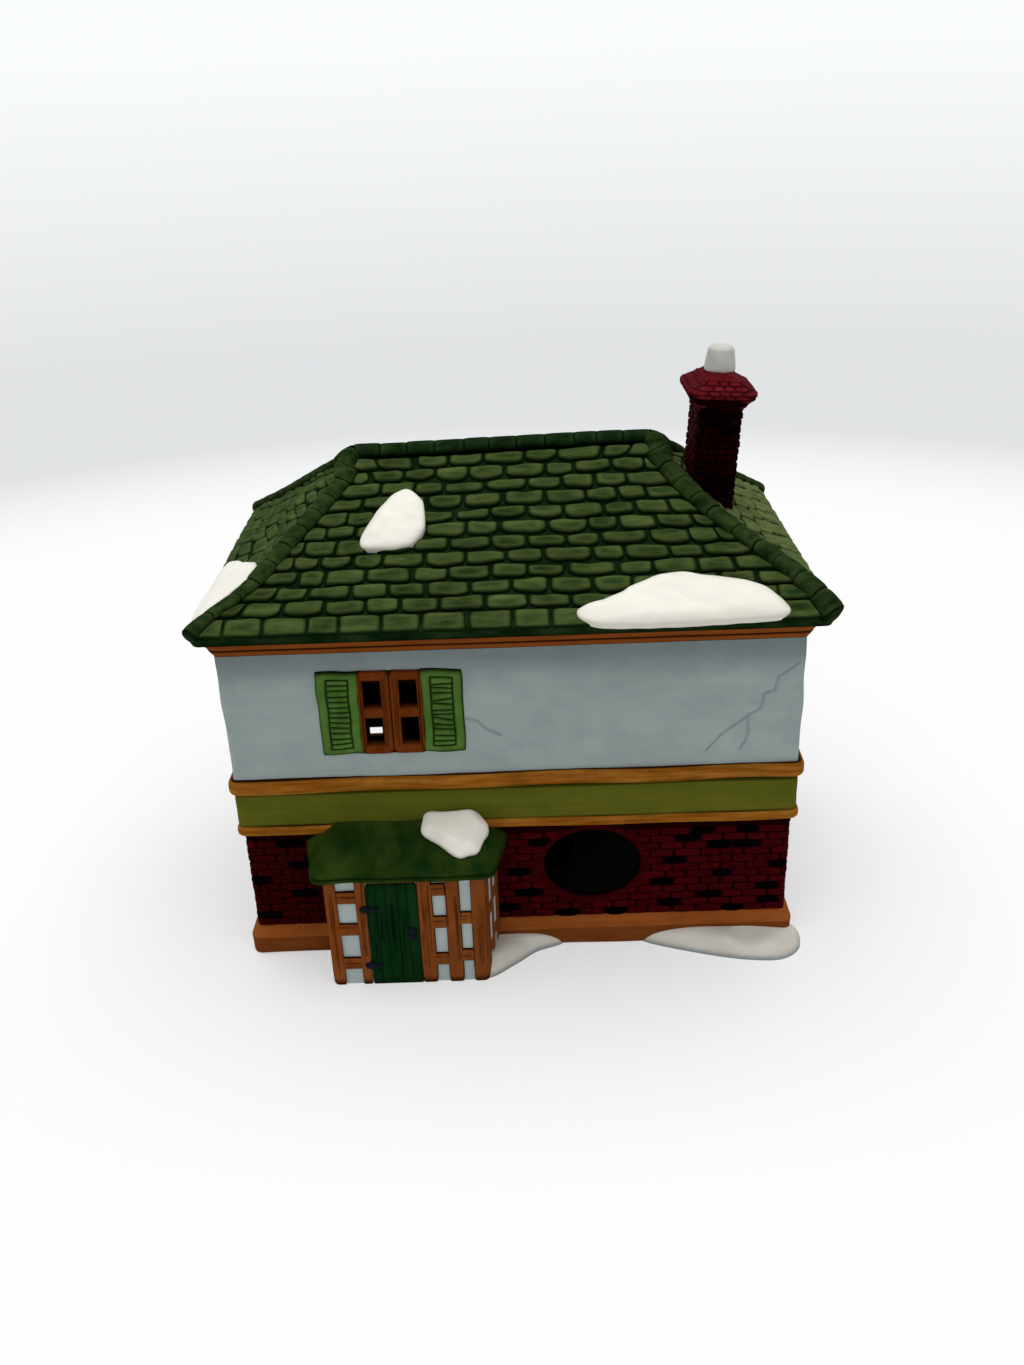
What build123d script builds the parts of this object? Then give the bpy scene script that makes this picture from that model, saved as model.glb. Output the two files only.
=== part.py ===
"""Hollow porcelain village house: a brick storey under a rendered storey, a tiled hip roof with a
leaning chimney, and a timber-framed porch. A lamp goes in through the oval hole in the front wall.

Each piece is cast or pressed by itself and luted to its neighbours, so pieces meet face to face.
Millimetres, +Z up. The front wall, with the lamp hole and the porch, faces -Y. The origin is on the
table, under the middle of the house's bounding box.
"""

import os
from math import atan2, cos, hypot, pi, radians, sin, tan

from build123d import *

# Walls: sizes outside the rendered upper storey, and how far each layer stands out from it
HOUSE_LENGTH = 171.6
HOUSE_DEPTH = 101.6
WALL = 3.5
PLINTH_HEIGHT = 9.6
PLINTH_STEP = 1.6
PLINTH_LEDGE = 0.2
BRICK_HEIGHT = 35.2
BRICK_RECESS = 1.0
LOWER_BELT_HEIGHT = 3.4
LOWER_BELT_STEP = 1.5
LOWER_BELT_ROUND = 1.2
BAND_HEIGHT = 11.6
BAND_STEP = 0.6
UPPER_BELT_HEIGHT = 5.0
UPPER_BELT_STEP = 2.0
UPPER_BELT_ROUND = 1.6
RENDER_HEIGHT = 41.4
CORNICE_HEIGHT = 5.8
CORNICE_FILLET = 1.8
CORNICE_FOOT = 0.8
CORNICE_STEP = 4.0

# Floor inside the plinth, raised off the table, with the hole that the slip was poured through
FLOOR_RISE = 1.5
FLOOR_THICKNESS = 3.0
POUR_HOLE_RADIUS = 20.0

# Oval lamp hole in the front brick wall
LAMP_HOLE_WIDTH = 30.7
LAMP_HOLE_HEIGHT = 25.5
LAMP_HOLE_X = 23.3
LAMP_HOLE_RISE = 19.8

# Hip roof
EAVE_OUT_X = 5.0
EAVE_OUT_Y = 6.6
EAVE_EDGE = 3.5
ROOF_RISE = 35.0
RIDGE_LENGTH = 94.0
ROOF_WALL = 3.5

# Roof tiles: stepped courses with staggered joints, and rolled caps over the ridge and hips
COURSES = 12
TILE_BUTT = 1.7
TILE_HEAD = 0.7
TILE_WIDTH = 12.8
JOINT_WIDTH = 0.6
CAP_RADIUS = 3.0
CAP_RISE = 0.3
CAP_GAP = 0.6
CAP_PITCH = 8.8
CAP_GROOVE = 0.5
CAP_OVERSHOOT = 0.3

# Chimney on the right hip, leaning outwards
CHIMNEY_INSET = 27.6
CHIMNEY_FORWARD = 2.0
CHIMNEY_WIDTH = 12.7
CHIMNEY_DEPTH = 20.0
CHIMNEY_LEAN = 3.5
STACK_HEIGHT = 25.0
HEAD_STEP = 3.2
HEAD_CORBEL = 5.6
HEAD_EDGE = 1.4
HEAD_WEATHERING = 3.3
HEAD_SHOULDER = 4.2
POT_SIDES = 12
POT_RADIUS = 4.8
POT_TAPER = 0.8
POT_FOOT = 0.8
POT_HEIGHT = 7.5
POT_CHAMFER = 1.0

# Casement windows of two leaves with two panes each, and louvred shutters beside them
LEAF_WIDTH = 9.5
LEAF_HEIGHT = 27.8
LEAF_SEAT = 2.0
LEAF_PROUD = 1.0
PANE_WIDTH = 5.1
PANE_HEIGHT = 8.6
PANE_PITCH = 12.3
PANE_SHIFT = 0.6
UPPER_SILL = 7.7
LOWER_SILL = 3.5
FRONT_WINDOW_X = -36.0
REAR_WINDOW_X = 49.0
SHUTTER_WIDTH = 11.6
SHUTTER_THICKNESS = 1.5
SLATS = 13
SLAT_LENGTH = 5.6
SLAT_PITCH = 1.7
SLAT_EDGE_DEPTH = 0.1
SLAT_DEPTH = 0.7

# Porch: a hollow box against the front wall, splayed towards it, clad in timbers, with a hipped lean-to roof
PORCH_X = -34.6
PORCH_WIDTH = 48.2
PORCH_DEPTH = 18.4
PORCH_SPLAY = 3.4
PORCH_HEIGHT = 40.0
PORCH_WALL = 3.0
PORCH_FLOOR = 3.0
TIMBER = 0.8
RAIL_HEIGHT = 4.4
PORCH_EAVE = 3.2
PORCH_EAVE_EDGE = 2.2
PORCH_ROOF_RISE = 7.4
PORCH_HIP_RUN = 10.0
PORCH_CORNER = 4.0

# Columns of infill panels: middle, width, and the heights of the rails that divide them
FRONT_PANELS = ((-18.0, 5.6, (8.3, 21.2, 33.0)), (10.0, 3.7, (9.0, 23.0, 35.0)), (18.0, 3.0, (10.2, 24.3)))
SIDE_PANELS = ((-3.2, 2.6, (9.0, 23.5)), (2.6, 2.6, (11.0, 25.0)))
PANEL_FOOT = 1.2

# Porch door
DOOR_X = -4.1
DOOR_WIDTH = 15.6
DOOR_HEIGHT = 38.0
DOOR_ROUND = 2.0
BOARDS = 5
BOARD_GROOVE = 0.4
BOARD_GROOVE_DEPTH = 0.3
HINGE_OUTLINE = [(0, -0.8), (1.2, -1.4), (2.6, -0.8), (5.6, 0), (2.6, 0.8), (1.2, 1.4), (0, 0.8)]
HINGE_THICKNESS = 0.6
HINGE_OVERLAP = 3.4
LOWER_HINGE_RISE = 7.5
UPPER_HINGE_RISE = 28.7
LATCH_WIDTH = 2.6
LATCH_HEIGHT = 5.2
LATCH_THICKNESS = 0.9
LATCH_INSET = 2.2
LATCH_RISE = 19.2

# Snow: how thick it lies, how round its outlines are, and how its rim slopes as a share of the thickness
ROOF_SNOW = 3.0
PORCH_SNOW = 4.2
DRIFT_HEIGHT = 6.0
SNOW_ROUND = 3.0
DRIFT_ROUND = 5.0
RIM_RUN = 0.66
RIM_FALL = 0.6

# Levels up the wall and the room inside
BRICK_Z = PLINTH_HEIGHT
LOWER_BELT_Z = BRICK_Z + BRICK_HEIGHT
BAND_Z = LOWER_BELT_Z + LOWER_BELT_HEIGHT
UPPER_BELT_Z = BAND_Z + BAND_HEIGHT
RENDER_Z = UPPER_BELT_Z + UPPER_BELT_HEIGHT
CORNICE_Z = RENDER_Z + RENDER_HEIGHT
SOFFIT_Z = CORNICE_Z + CORNICE_HEIGHT
EAVE_Z = SOFFIT_Z + EAVE_EDGE
RIDGE_Z = EAVE_Z + ROOF_RISE
ROOM_LENGTH = HOUSE_LENGTH - 2 * WALL
ROOM_DEPTH = HOUSE_DEPTH - 2 * WALL

# Roof slopes: half sizes at the eave, pitches in radians, and lengths up the slope
EAVE_HALF_X = HOUSE_LENGTH / 2 + EAVE_OUT_X
EAVE_HALF_Y = HOUSE_DEPTH / 2 + EAVE_OUT_Y
HIP_RUN = EAVE_HALF_X - RIDGE_LENGTH / 2
MAIN_PITCH = atan2(ROOF_RISE, EAVE_HALF_Y)
HIP_PITCH = atan2(ROOF_RISE, HIP_RUN)
MAIN_SLOPE = hypot(ROOF_RISE, EAVE_HALF_Y)
HIP_SLOPE = hypot(ROOF_RISE, HIP_RUN)

# The house stands behind the origin, because the porch reaches out in front of it
UP = Vector(0, 0, 1)
HIP_LINE = Vector(HIP_RUN, EAVE_HALF_Y, -ROOF_RISE).normalized()
HIP_SECTION = Plane((0, 0, 0), x_dir=UP.cross(HIP_LINE), z_dir=HIP_LINE)
CAP_FLAT = CAP_RADIUS * tan(pi / 8)
CAP_BACK = [(CAP_RADIUS, CAP_FLAT), (CAP_FLAT, CAP_RADIUS), (-CAP_FLAT, CAP_RADIUS), (-CAP_RADIUS, CAP_FLAT)]
CAP_REACH = max(HIP_SECTION.from_local_coords((x, y, 0)).Y for x, y in CAP_BACK)
FRONT_REACH = HOUSE_DEPTH / 2 + PORCH_DEPTH + PORCH_EAVE
REAR_REACH = EAVE_HALF_Y + (CAP_OVERSHOOT - CAP_GROOVE) * HIP_LINE.Y + CAP_REACH
HOUSE_Y = (FRONT_REACH - REAR_REACH) / 2
PORCH_FRONT_Y = HOUSE_Y - HOUSE_DEPTH / 2 - PORCH_DEPTH
PORCH_RUN = PORCH_DEPTH + PORCH_EAVE + BRICK_RECESS
PORCH_PITCH = atan2(PORCH_ROOF_RISE, PORCH_RUN)

# Snow on the roof: each patch's slope, its middle along and up that slope, and its outline round there
UPPER_SNOW = [(-10.2, -7.8), (-7.4, 0.6), (2.4, 12.4), (8.6, 11.6), (9.9, -8.0), (-1.0, -11.0)]
EAVE_SNOW = [(-30.4, -7.6), (-27.6, 0.6), (-14.6, 5.8), (3.4, 9.0), (21.8, 3.8), (33.0, -7.6)]
SIDE_SNOW = [(-26.0, -5.4), (18.0, -7.2), (-1.0, 11.4), (-8.0, 11.0)]
REAR_SNOW = [(-14.0, -5.0), (3.0, -9.0), (14.0, 0.0), (4.0, 9.0), (-9.0, 6.0)]
SNOW_PATCHES = {
    "roof_snow_upper": ("front", -34.4, 38.4, UPPER_SNOW),
    "roof_snow_eave": ("front", EAVE_HALF_X - 42.0, 6.4, EAVE_SNOW),
    "roof_snow_side": ("left", EAVE_HALF_Y - 22.4, 8.6, SIDE_SNOW),
    "roof_snow_rear": ("rear", 26.0, 28.0, REAR_SNOW),
}
PORCH_SNOW_OUTLINE = [(-11.6, 1.0), (0.6, -9.2), (6.4, -7.4), (9.6, 3.0), (5.2, 9.6), (-10.6, 9.6)]
PORCH_SNOW_INSET = 10.8
PORCH_SNOW_UP = 14.5

# Drifts on the table, as outlines round a corner of the walls: rightwards and away from the viewer
PORCH_DRIFT = [(-9.0, -15.5), (6.0, -15.5), (26.0, 1.0), (14.0, 8.0), (-9.0, 8.0)]
CORNER_DRIFT = [(-52, 3), (-33, -6.4), (-17, -11), (3, -11), (5.2, 0), (3.4, 20), (-30, 20)]


def level(z):
    """A horizontal plane over the middle of the house."""
    return Plane((0, HOUSE_Y, z))


def wall_face(side, step=0.0):
    """A plane on one wall's outer face: X to the right seen from outside, Y up, Z outwards."""
    normal = {"front": (0, -1), "rear": (0, 1), "left": (-1, 0), "right": (1, 0)}[side]
    foot = (normal[0] * (HOUSE_LENGTH / 2 + step), HOUSE_Y + normal[1] * (HOUSE_DEPTH / 2 + step), 0)
    return Plane(foot, x_dir=(-normal[1], normal[0], 0), z_dir=(normal[0], normal[1], 0))


def slope_face(side):
    """A plane on one roof slope: X along the eave, Y up the slope, Z outwards, from the eave's middle."""
    wall = wall_face(side)
    main = side in ("front", "rear")
    pitch = MAIN_PITCH if main else HIP_PITCH
    foot = Vector(0, HOUSE_Y, EAVE_Z) + wall.z_dir * (EAVE_HALF_Y if main else EAVE_HALF_X)
    return Plane(foot, x_dir=wall.x_dir, z_dir=wall.z_dir * sin(pitch) + Vector(0, 0, cos(pitch)))


def slope_sizes(side):
    """Half the eave, half the top and the length up one roof slope."""
    if side in ("front", "rear"):
        return EAVE_HALF_X, RIDGE_LENGTH / 2, MAIN_SLOPE
    return EAVE_HALF_Y, 0.0, HIP_SLOPE


def wall_ring(step):
    """Sketches one layer of the four walls round the room, standing out by step."""
    Rectangle(HOUSE_LENGTH + 2 * step, HOUSE_DEPTH + 2 * step)
    Rectangle(ROOM_LENGTH, ROOM_DEPTH, mode=Mode.SUBTRACT)


def rim(part, which):
    """The outer edges of a piece's lowest (which 0) or highest (which -1) flat face."""
    return part.faces().filter_by(Axis.Z).sort_by(Axis.Z)[which].outer_wire().edges()


def placed(outline, along, up):
    """An outline drawn round a middle that lies along and up its plane."""
    return [(along + x, up + y) for x, y in outline]


def top_face(part, plane):
    """The face of a piece that lies furthest along a plane's normal."""
    return part.faces().sort_by(Axis(plane.origin, plane.z_dir))[-1]


def gable(half_depth, inset):
    """Corners of a hipped block's section above the soffit, its slopes set in by inset under the roof's."""
    drop = inset / cos(MAIN_PITCH)
    side_z = EAVE_Z + (EAVE_HALF_Y - half_depth) * tan(MAIN_PITCH) - drop
    front, rear = HOUSE_Y - half_depth, HOUSE_Y + half_depth
    return [(front, SOFFIT_Z), (rear, SOFFIT_Z), (rear, side_z), (HOUSE_Y, RIDGE_Z - drop), (front, side_z)]


def hip_end(end, inset):
    """The plane of one hipped end (-1 left, 1 right), set in by inset."""
    outward = Vector(end * sin(HIP_PITCH), 0, cos(HIP_PITCH))
    return Plane(Vector(end * EAVE_HALF_X, HOUSE_Y, EAVE_Z) - outward * inset, z_dir=outward)


def courses(length):
    """Corners of stepped courses up a slope: each is thick at its butt and thin under the next."""
    points = [(0, 0)]
    for i in range(COURSES):
        points += [(i * length / COURSES, TILE_BUTT), ((i + 1) * length / COURSES, TILE_HEAD)]
    return points + [(length, 0)]


def tile_field(half_eave, half_top, length):
    """Corners of the tiled area of a slope, kept clear of the caps on its hips and ridge."""
    lean = (half_eave - half_top) / length
    clear = CAP_RADIUS + CAP_GAP
    half_foot = half_eave - clear * hypot(1, lean)
    top = min(length - clear, (half_foot - JOINT_WIDTH) / lean)
    half_head = half_foot - lean * top
    return [(-half_foot, 0), (half_foot, 0), (half_head, top), (-half_head, top)]


def joint_places(half_eave, half_top, length):
    """Middles of the upright joints, staggered by half a tile from course to course."""
    places = []
    for i in range(COURSES):
        half = half_eave - (half_eave - half_top) * (i + 1) / COURSES - CAP_RADIUS - TILE_WIDTH / 3
        count = int(half / TILE_WIDTH) + 1
        for k in range(-count, count + 1):
            x = (k + 0.5 * (i % 2) + 0.12 * sin(3 * k + 5 * i)) * TILE_WIDTH
            if abs(x) < half:
                places.append((x, (i + 0.5) * length / COURSES))
    return places


def louvre_section():
    """Corners of a louvred panel's section: up the panel, against the depth under the board's face."""
    foot = -SLATS * SLAT_PITCH / 2
    points = [(foot, 0)]
    for i in range(SLATS):
        points += [(foot + i * SLAT_PITCH, -SLAT_DEPTH), (foot + (i + 1) * SLAT_PITCH, -SLAT_EDGE_DEPTH)]
    return points + [(-foot, 0)]


pieces = {}

# Floor and the stacked layers of the walls, all round the same room
with BuildPart() as base_floor:
    with BuildSketch(level(FLOOR_RISE)):
        Rectangle(ROOM_LENGTH, ROOM_DEPTH)
        Circle(POUR_HOLE_RADIUS, mode=Mode.SUBTRACT)
    extrude(amount=FLOOR_THICKNESS)
pieces["base_floor"] = base_floor.part

with BuildPart() as plinth:
    with BuildSketch(level(0)):
        wall_ring(PLINTH_STEP)
    extrude(amount=PLINTH_HEIGHT)
    chamfer(rim(plinth, -1), PLINTH_STEP + BRICK_RECESS - PLINTH_LEDGE)
pieces["plinth"] = plinth.part

WINDOWS = {
    "front_upper": [("front", FRONT_WINDOW_X)],
    "left_upper": [("left", 0.0)],
    "right_upper": [("right", 0.0)],
    "rear_upper": [("rear", -REAR_WINDOW_X), ("rear", REAR_WINDOW_X)],
    "rear_lower": [("rear", -REAR_WINDOW_X), ("rear", REAR_WINDOW_X)],
}
LOWER_WINDOW_Z = BRICK_Z + LOWER_SILL + LEAF_HEIGHT / 2
UPPER_WINDOW_Z = RENDER_Z + UPPER_SILL + LEAF_HEIGHT / 2

with BuildPart() as brick_storey:
    with BuildSketch(level(BRICK_Z)):
        wall_ring(-BRICK_RECESS)
    extrude(amount=BRICK_HEIGHT)
    with BuildSketch(wall_face("front")):
        with Locations((LAMP_HOLE_X, BRICK_Z + LAMP_HOLE_RISE)):
            Ellipse(LAMP_HOLE_WIDTH / 2, LAMP_HOLE_HEIGHT / 2)
    extrude(amount=-2 * WALL, mode=Mode.SUBTRACT)
    for side, x in WINDOWS["rear_lower"]:
        with BuildSketch(wall_face(side)):
            with Locations((x, LOWER_WINDOW_Z)):
                Rectangle(2 * LEAF_WIDTH, LEAF_HEIGHT)
        extrude(amount=-2 * WALL, mode=Mode.SUBTRACT)
pieces["brick_storey"] = brick_storey.part

with BuildPart() as lower_belt:
    with BuildSketch(level(LOWER_BELT_Z)):
        wall_ring(LOWER_BELT_STEP)
    extrude(amount=LOWER_BELT_HEIGHT)
    fillet(rim(lower_belt, 0) + rim(lower_belt, -1), LOWER_BELT_ROUND)
pieces["lower_belt"] = lower_belt.part

with BuildPart() as frieze_band:
    with BuildSketch(level(BAND_Z)):
        wall_ring(BAND_STEP)
    extrude(amount=BAND_HEIGHT)
pieces["frieze_band"] = frieze_band.part

with BuildPart() as upper_belt:
    with BuildSketch(level(UPPER_BELT_Z)):
        wall_ring(UPPER_BELT_STEP)
    extrude(amount=UPPER_BELT_HEIGHT)
    fillet(rim(upper_belt, 0) + rim(upper_belt, -1), UPPER_BELT_ROUND)
pieces["upper_belt"] = upper_belt.part

with BuildPart() as rendered_storey:
    with BuildSketch(level(RENDER_Z)):
        wall_ring(0)
    extrude(amount=RENDER_HEIGHT)
    for name in ("front_upper", "left_upper", "right_upper", "rear_upper"):
        for side, x in WINDOWS[name]:
            with BuildSketch(wall_face(side)):
                with Locations((x, UPPER_WINDOW_Z)):
                    Rectangle(2 * LEAF_WIDTH, LEAF_HEIGHT)
            extrude(amount=-2 * WALL, mode=Mode.SUBTRACT)
pieces["rendered_storey"] = rendered_storey.part

with BuildPart() as cornice:
    with BuildSketch(level(CORNICE_Z)):
        Rectangle(HOUSE_LENGTH + 2 * CORNICE_FOOT, HOUSE_DEPTH + 2 * CORNICE_FOOT)
    with BuildSketch(level(SOFFIT_Z - CORNICE_FILLET)):
        Rectangle(HOUSE_LENGTH + 2 * CORNICE_STEP, HOUSE_DEPTH + 2 * CORNICE_STEP)
    loft(ruled=True)
    with BuildSketch(level(SOFFIT_Z - CORNICE_FILLET)):
        Rectangle(HOUSE_LENGTH + 2 * CORNICE_STEP, HOUSE_DEPTH + 2 * CORNICE_STEP)
    extrude(amount=CORNICE_FILLET)
    with BuildSketch(level(CORNICE_Z)):
        Rectangle(ROOM_LENGTH, ROOM_DEPTH)
    extrude(amount=CORNICE_HEIGHT, mode=Mode.SUBTRACT)
pieces["cornice"] = cornice.part

# Hip roof: the solid hipped block, then the same block hollowed over the room
with BuildPart() as roof_block:
    with BuildSketch(Plane.YZ):
        with BuildLine():
            Polyline(*gable(EAVE_HALF_Y, 0), close=True)
        make_face()
    extrude(amount=EAVE_HALF_X, both=True)
    for end in (-1, 1):
        split(bisect_by=hip_end(end, 0), keep=Keep.BOTTOM)

with BuildPart() as roof_hollow:
    with BuildSketch(Plane.YZ):
        with BuildLine():
            Polyline(*gable(ROOM_DEPTH / 2, ROOF_WALL), close=True)
        make_face()
    extrude(amount=ROOM_LENGTH / 2, both=True)
    for end in (-1, 1):
        split(bisect_by=hip_end(end, ROOF_WALL), keep=Keep.BOTTOM)

with BuildPart() as roof_shell:
    add(roof_block.part)
    add(roof_hollow.part, mode=Mode.SUBTRACT)
pieces["roof_shell"] = roof_shell.part

# Caps along the ridge and down the four hips, mitred at the ridge's ends and cut to sit on the slopes
RIDGE_END = Vector(RIDGE_LENGTH / 2, HOUSE_Y, RIDGE_Z + CAP_RISE)
cap_lines = {"ridge_cap": (RIDGE_END - Vector(RIDGE_LENGTH, 0, 0), RIDGE_END)}
for row, y_sign in (("front", -1), ("rear", 1)):
    for side, x_sign in (("left", -1), ("right", 1)):
        down = Vector(x_sign * HIP_LINE.X, y_sign * HIP_LINE.Y, HIP_LINE.Z)
        top = Vector(x_sign * RIDGE_END.X, HOUSE_Y, RIDGE_END.Z)
        length = hypot(HIP_RUN, EAVE_HALF_Y, ROOF_RISE) + CAP_OVERSHOOT
        cap_lines[f"hip_cap_{row}_{side}"] = (top, top + down * length)

laid_caps = []
for name, (start, end) in cap_lines.items():
    axis = end - start
    rolls = round(axis.length / CAP_PITCH)
    section = Plane(start, x_dir=UP.cross(axis), z_dir=axis)
    with BuildPart() as roll:
        with BuildSketch():
            Polygon((CAP_RADIUS, -CAP_RADIUS), *CAP_BACK, (-CAP_RADIUS, -CAP_RADIUS))
        extrude(amount=axis.length / rolls)
        chamfer(roll.faces().filter_by(Axis.Z).edges(), CAP_GROOVE)
    with BuildPart() as cap:
        with Locations(*[section.offset(i * axis.length / rolls) for i in range(rolls)]):
            add(roll.part)
        if axis.Y:
            split(bisect_by=Plane((0, HOUSE_Y, 0), z_dir=(0, axis.Y, 0)), keep=Keep.TOP)
        add(roof_block.part, mode=Mode.SUBTRACT)
        for laid in laid_caps:
            add(laid, mode=Mode.SUBTRACT)
    laid_caps.append(cap.part)
    pieces[name] = cap.part

# Chimney: the stack's foot is cut to the slope and round the caps beside it, and its bay of the slope,
# from the stack up to the ridge, is left without tiles
CHIMNEY_X = EAVE_HALF_X - CHIMNEY_INSET
LEAN = radians(CHIMNEY_LEAN)
CHIMNEY_FOOT = Vector(CHIMNEY_X, HOUSE_Y - CHIMNEY_FORWARD, EAVE_Z + CHIMNEY_INSET * tan(HIP_PITCH))
chimney_plane = Plane(CHIMNEY_FOOT, x_dir=(cos(LEAN), 0, -sin(LEAN)), z_dir=(sin(LEAN), 0, cos(LEAN)))
FOOT_DROP = CHIMNEY_WIDTH * tan(HIP_PITCH + LEAN)

with BuildPart() as chimney_stack:
    with BuildSketch(chimney_plane.offset(-FOOT_DROP)):
        Rectangle(CHIMNEY_WIDTH, CHIMNEY_DEPTH)
    extrude(amount=FOOT_DROP + STACK_HEIGHT)
    add(roof_block.part, mode=Mode.SUBTRACT)
    for laid in laid_caps:
        add(laid, mode=Mode.SUBTRACT)
pieces["chimney_stack"] = chimney_stack.part

with BuildPart() as chimney_bay:
    with BuildSketch(chimney_plane.offset(-FOOT_DROP)):
        with Locations((CHIMNEY_WIDTH / 2, 0)):
            Rectangle(HIP_RUN, CHIMNEY_DEPTH, align=(Align.MAX, Align.CENTER))
    extrude(amount=FOOT_DROP + STACK_HEIGHT)

with BuildPart() as chimney_head:
    with BuildSketch(chimney_plane.offset(STACK_HEIGHT)):
        Rectangle(CHIMNEY_WIDTH + 2 * HEAD_STEP, CHIMNEY_DEPTH + 2 * HEAD_STEP)
    extrude(amount=HEAD_CORBEL + HEAD_EDGE + HEAD_WEATHERING)
    foot_face = top_face(chimney_head, -chimney_plane)
    chamfer(foot_face.edges(), HEAD_STEP, HEAD_CORBEL, reference=foot_face)
    crown_face = top_face(chimney_head, chimney_plane)
    chamfer(crown_face.edges(), HEAD_SHOULDER, HEAD_WEATHERING, reference=crown_face)
pieces["chimney_head"] = chimney_head.part

with BuildPart() as chimney_pot:
    with BuildSketch(chimney_plane.offset(STACK_HEIGHT + HEAD_CORBEL + HEAD_EDGE + HEAD_WEATHERING)):
        RegularPolygon(POT_RADIUS, POT_SIDES)
    extrude(amount=POT_HEIGHT)
    mouth = top_face(chimney_pot, chimney_plane)
    chamfer(mouth.edges(), POT_TAPER, POT_HEIGHT - POT_FOOT, reference=mouth)
    chamfer(top_face(chimney_pot, chimney_plane).edges(), POT_CHAMFER)
pieces["chimney_pot"] = chimney_pot.part

# Tiles: one stepped sheet a slope, with gaps where snow and the chimney stand on the shell
for side in ("front", "rear", "left", "right"):
    slope = slope_face(side)
    half_eave, half_top, length = slope_sizes(side)
    with BuildPart() as tiles:
        with BuildSketch(Plane(slope.origin, x_dir=slope.y_dir, z_dir=slope.x_dir)):
            with BuildLine():
                Polyline(*courses(length), close=True)
            make_face()
        extrude(amount=half_eave, both=True)
        with BuildSketch(slope):
            with BuildLine():
                Polyline(*tile_field(half_eave, half_top, length), close=True)
            make_face()
        extrude(amount=2 * TILE_BUTT, mode=Mode.INTERSECT)
        with BuildSketch(slope.offset(TILE_HEAD)):
            with Locations(*joint_places(half_eave, half_top, length)):
                Rectangle(JOINT_WIDTH, length / COURSES)
        extrude(amount=2 * TILE_BUTT, mode=Mode.SUBTRACT)
        for snow_side, along, up, outline in SNOW_PATCHES.values():
            if snow_side == side:
                with BuildSketch(slope):
                    with BuildLine():
                        FilletPolyline(*placed(outline, along, up), radius=SNOW_ROUND, close=True)
                    make_face()
                extrude(amount=2 * TILE_BUTT, mode=Mode.SUBTRACT)
        if side == "front":
            add(chimney_stack.part, mode=Mode.SUBTRACT)
        if side == "right":
            add(chimney_bay.part, mode=Mode.SUBTRACT)
    pieces[f"tiles_{side}"] = tiles.part

# Snow pillows on the roof shell, in the gaps of the tiles
for name, (side, along, up, outline) in SNOW_PATCHES.items():
    slope = slope_face(side)
    with BuildPart() as snow:
        with BuildSketch(slope):
            with BuildLine():
                FilletPolyline(*placed(outline, along, up), radius=SNOW_ROUND, close=True)
            make_face()
        extrude(amount=ROOF_SNOW)
        crown_face = top_face(snow, slope)
        chamfer(crown_face.edges(), RIM_RUN * ROOF_SNOW, RIM_FALL * ROOF_SNOW, reference=crown_face)
        for laid in laid_caps:
            add(laid, mode=Mode.SUBTRACT)
    pieces[name] = snow.part

# Casements: two leaves to a window, seated in the wall, with open panes (one tall pane in the lower storey)
for name, places in WINDOWS.items():
    lower = name == "rear_lower"
    step, middle_z = (-BRICK_RECESS, LOWER_WINDOW_Z) if lower else (0.0, UPPER_WINDOW_Z)
    rows, pane_height = (1, PANE_PITCH + PANE_HEIGHT) if lower else (2, PANE_HEIGHT)
    for leaf, hand in (("left", -1), ("right", 1)):
        with BuildPart() as casement:
            for side, x in places:
                seat = wall_face(side, step).offset(-LEAF_SEAT)
                with BuildSketch(seat):
                    with Locations((x + hand * LEAF_WIDTH / 2, middle_z)):
                        Rectangle(LEAF_WIDTH, LEAF_HEIGHT)
                        with GridLocations(0, PANE_PITCH, 1, rows):
                            with Locations((hand * PANE_SHIFT, 0)):
                                Rectangle(PANE_WIDTH, pane_height, mode=Mode.SUBTRACT)
                extrude(amount=LEAF_SEAT + LEAF_PROUD)
        pieces[f"{name}_{leaf}_leaf"] = casement.part

# Shutters: boards on the wall beside each upper window, each with one louvred panel
for name in ("front_upper", "left_upper", "right_upper", "rear_upper"):
    for board, hand in (("left", -1), ("right", 1)):
        with BuildPart() as shutter:
            for side, x in WINDOWS[name]:
                wall = wall_face(side)
                middle = (x + hand * (LEAF_WIDTH + SHUTTER_WIDTH / 2), UPPER_WINDOW_Z)
                with BuildSketch(wall):
                    with Locations(middle):
                        Rectangle(SHUTTER_WIDTH, LEAF_HEIGHT)
                extrude(amount=SHUTTER_THICKNESS)
                panel = wall.from_local_coords((middle[0] - SLAT_LENGTH / 2, middle[1], SHUTTER_THICKNESS))
                with BuildSketch(Plane(panel, x_dir=wall.y_dir, z_dir=wall.x_dir)):
                    with BuildLine():
                        Polyline(*louvre_section(), close=True)
                    make_face()
                extrude(amount=SLAT_LENGTH, mode=Mode.SUBTRACT)
        pieces[f"{name}_{board}_shutter"] = shutter.part

# Porch: a box shell against the house, its walls showing as infill between the timbers
porch_plan = Plane((PORCH_X, PORCH_FRONT_Y, 0))
porch_front = Plane((PORCH_X, PORCH_FRONT_Y, 0), x_dir=(1, 0, 0), z_dir=(0, -1, 0))
PORCH_REACH = PORCH_DEPTH + BRICK_RECESS
PORCH_LEAN = PORCH_SPLAY / PORCH_DEPTH


def porch_box(inset, mode=Mode.ADD):
    """Sketches the porch's plan from its front to the house wall, set in by inset on three sides."""
    trim = inset * hypot(1, PORCH_LEAN)
    front = PORCH_WIDTH / 2 + inset * PORCH_LEAN - trim
    back = PORCH_WIDTH / 2 + PORCH_REACH * PORCH_LEAN - trim
    Polygon((-front, inset), (front, inset), (back, PORCH_REACH), (-back, PORCH_REACH), mode=mode)


def cheek_normal(hand):
    """The way that one side of the porch faces (-1 left, 1 right)."""
    return Vector(hand, -PORCH_LEAN, 0).normalized()


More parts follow.
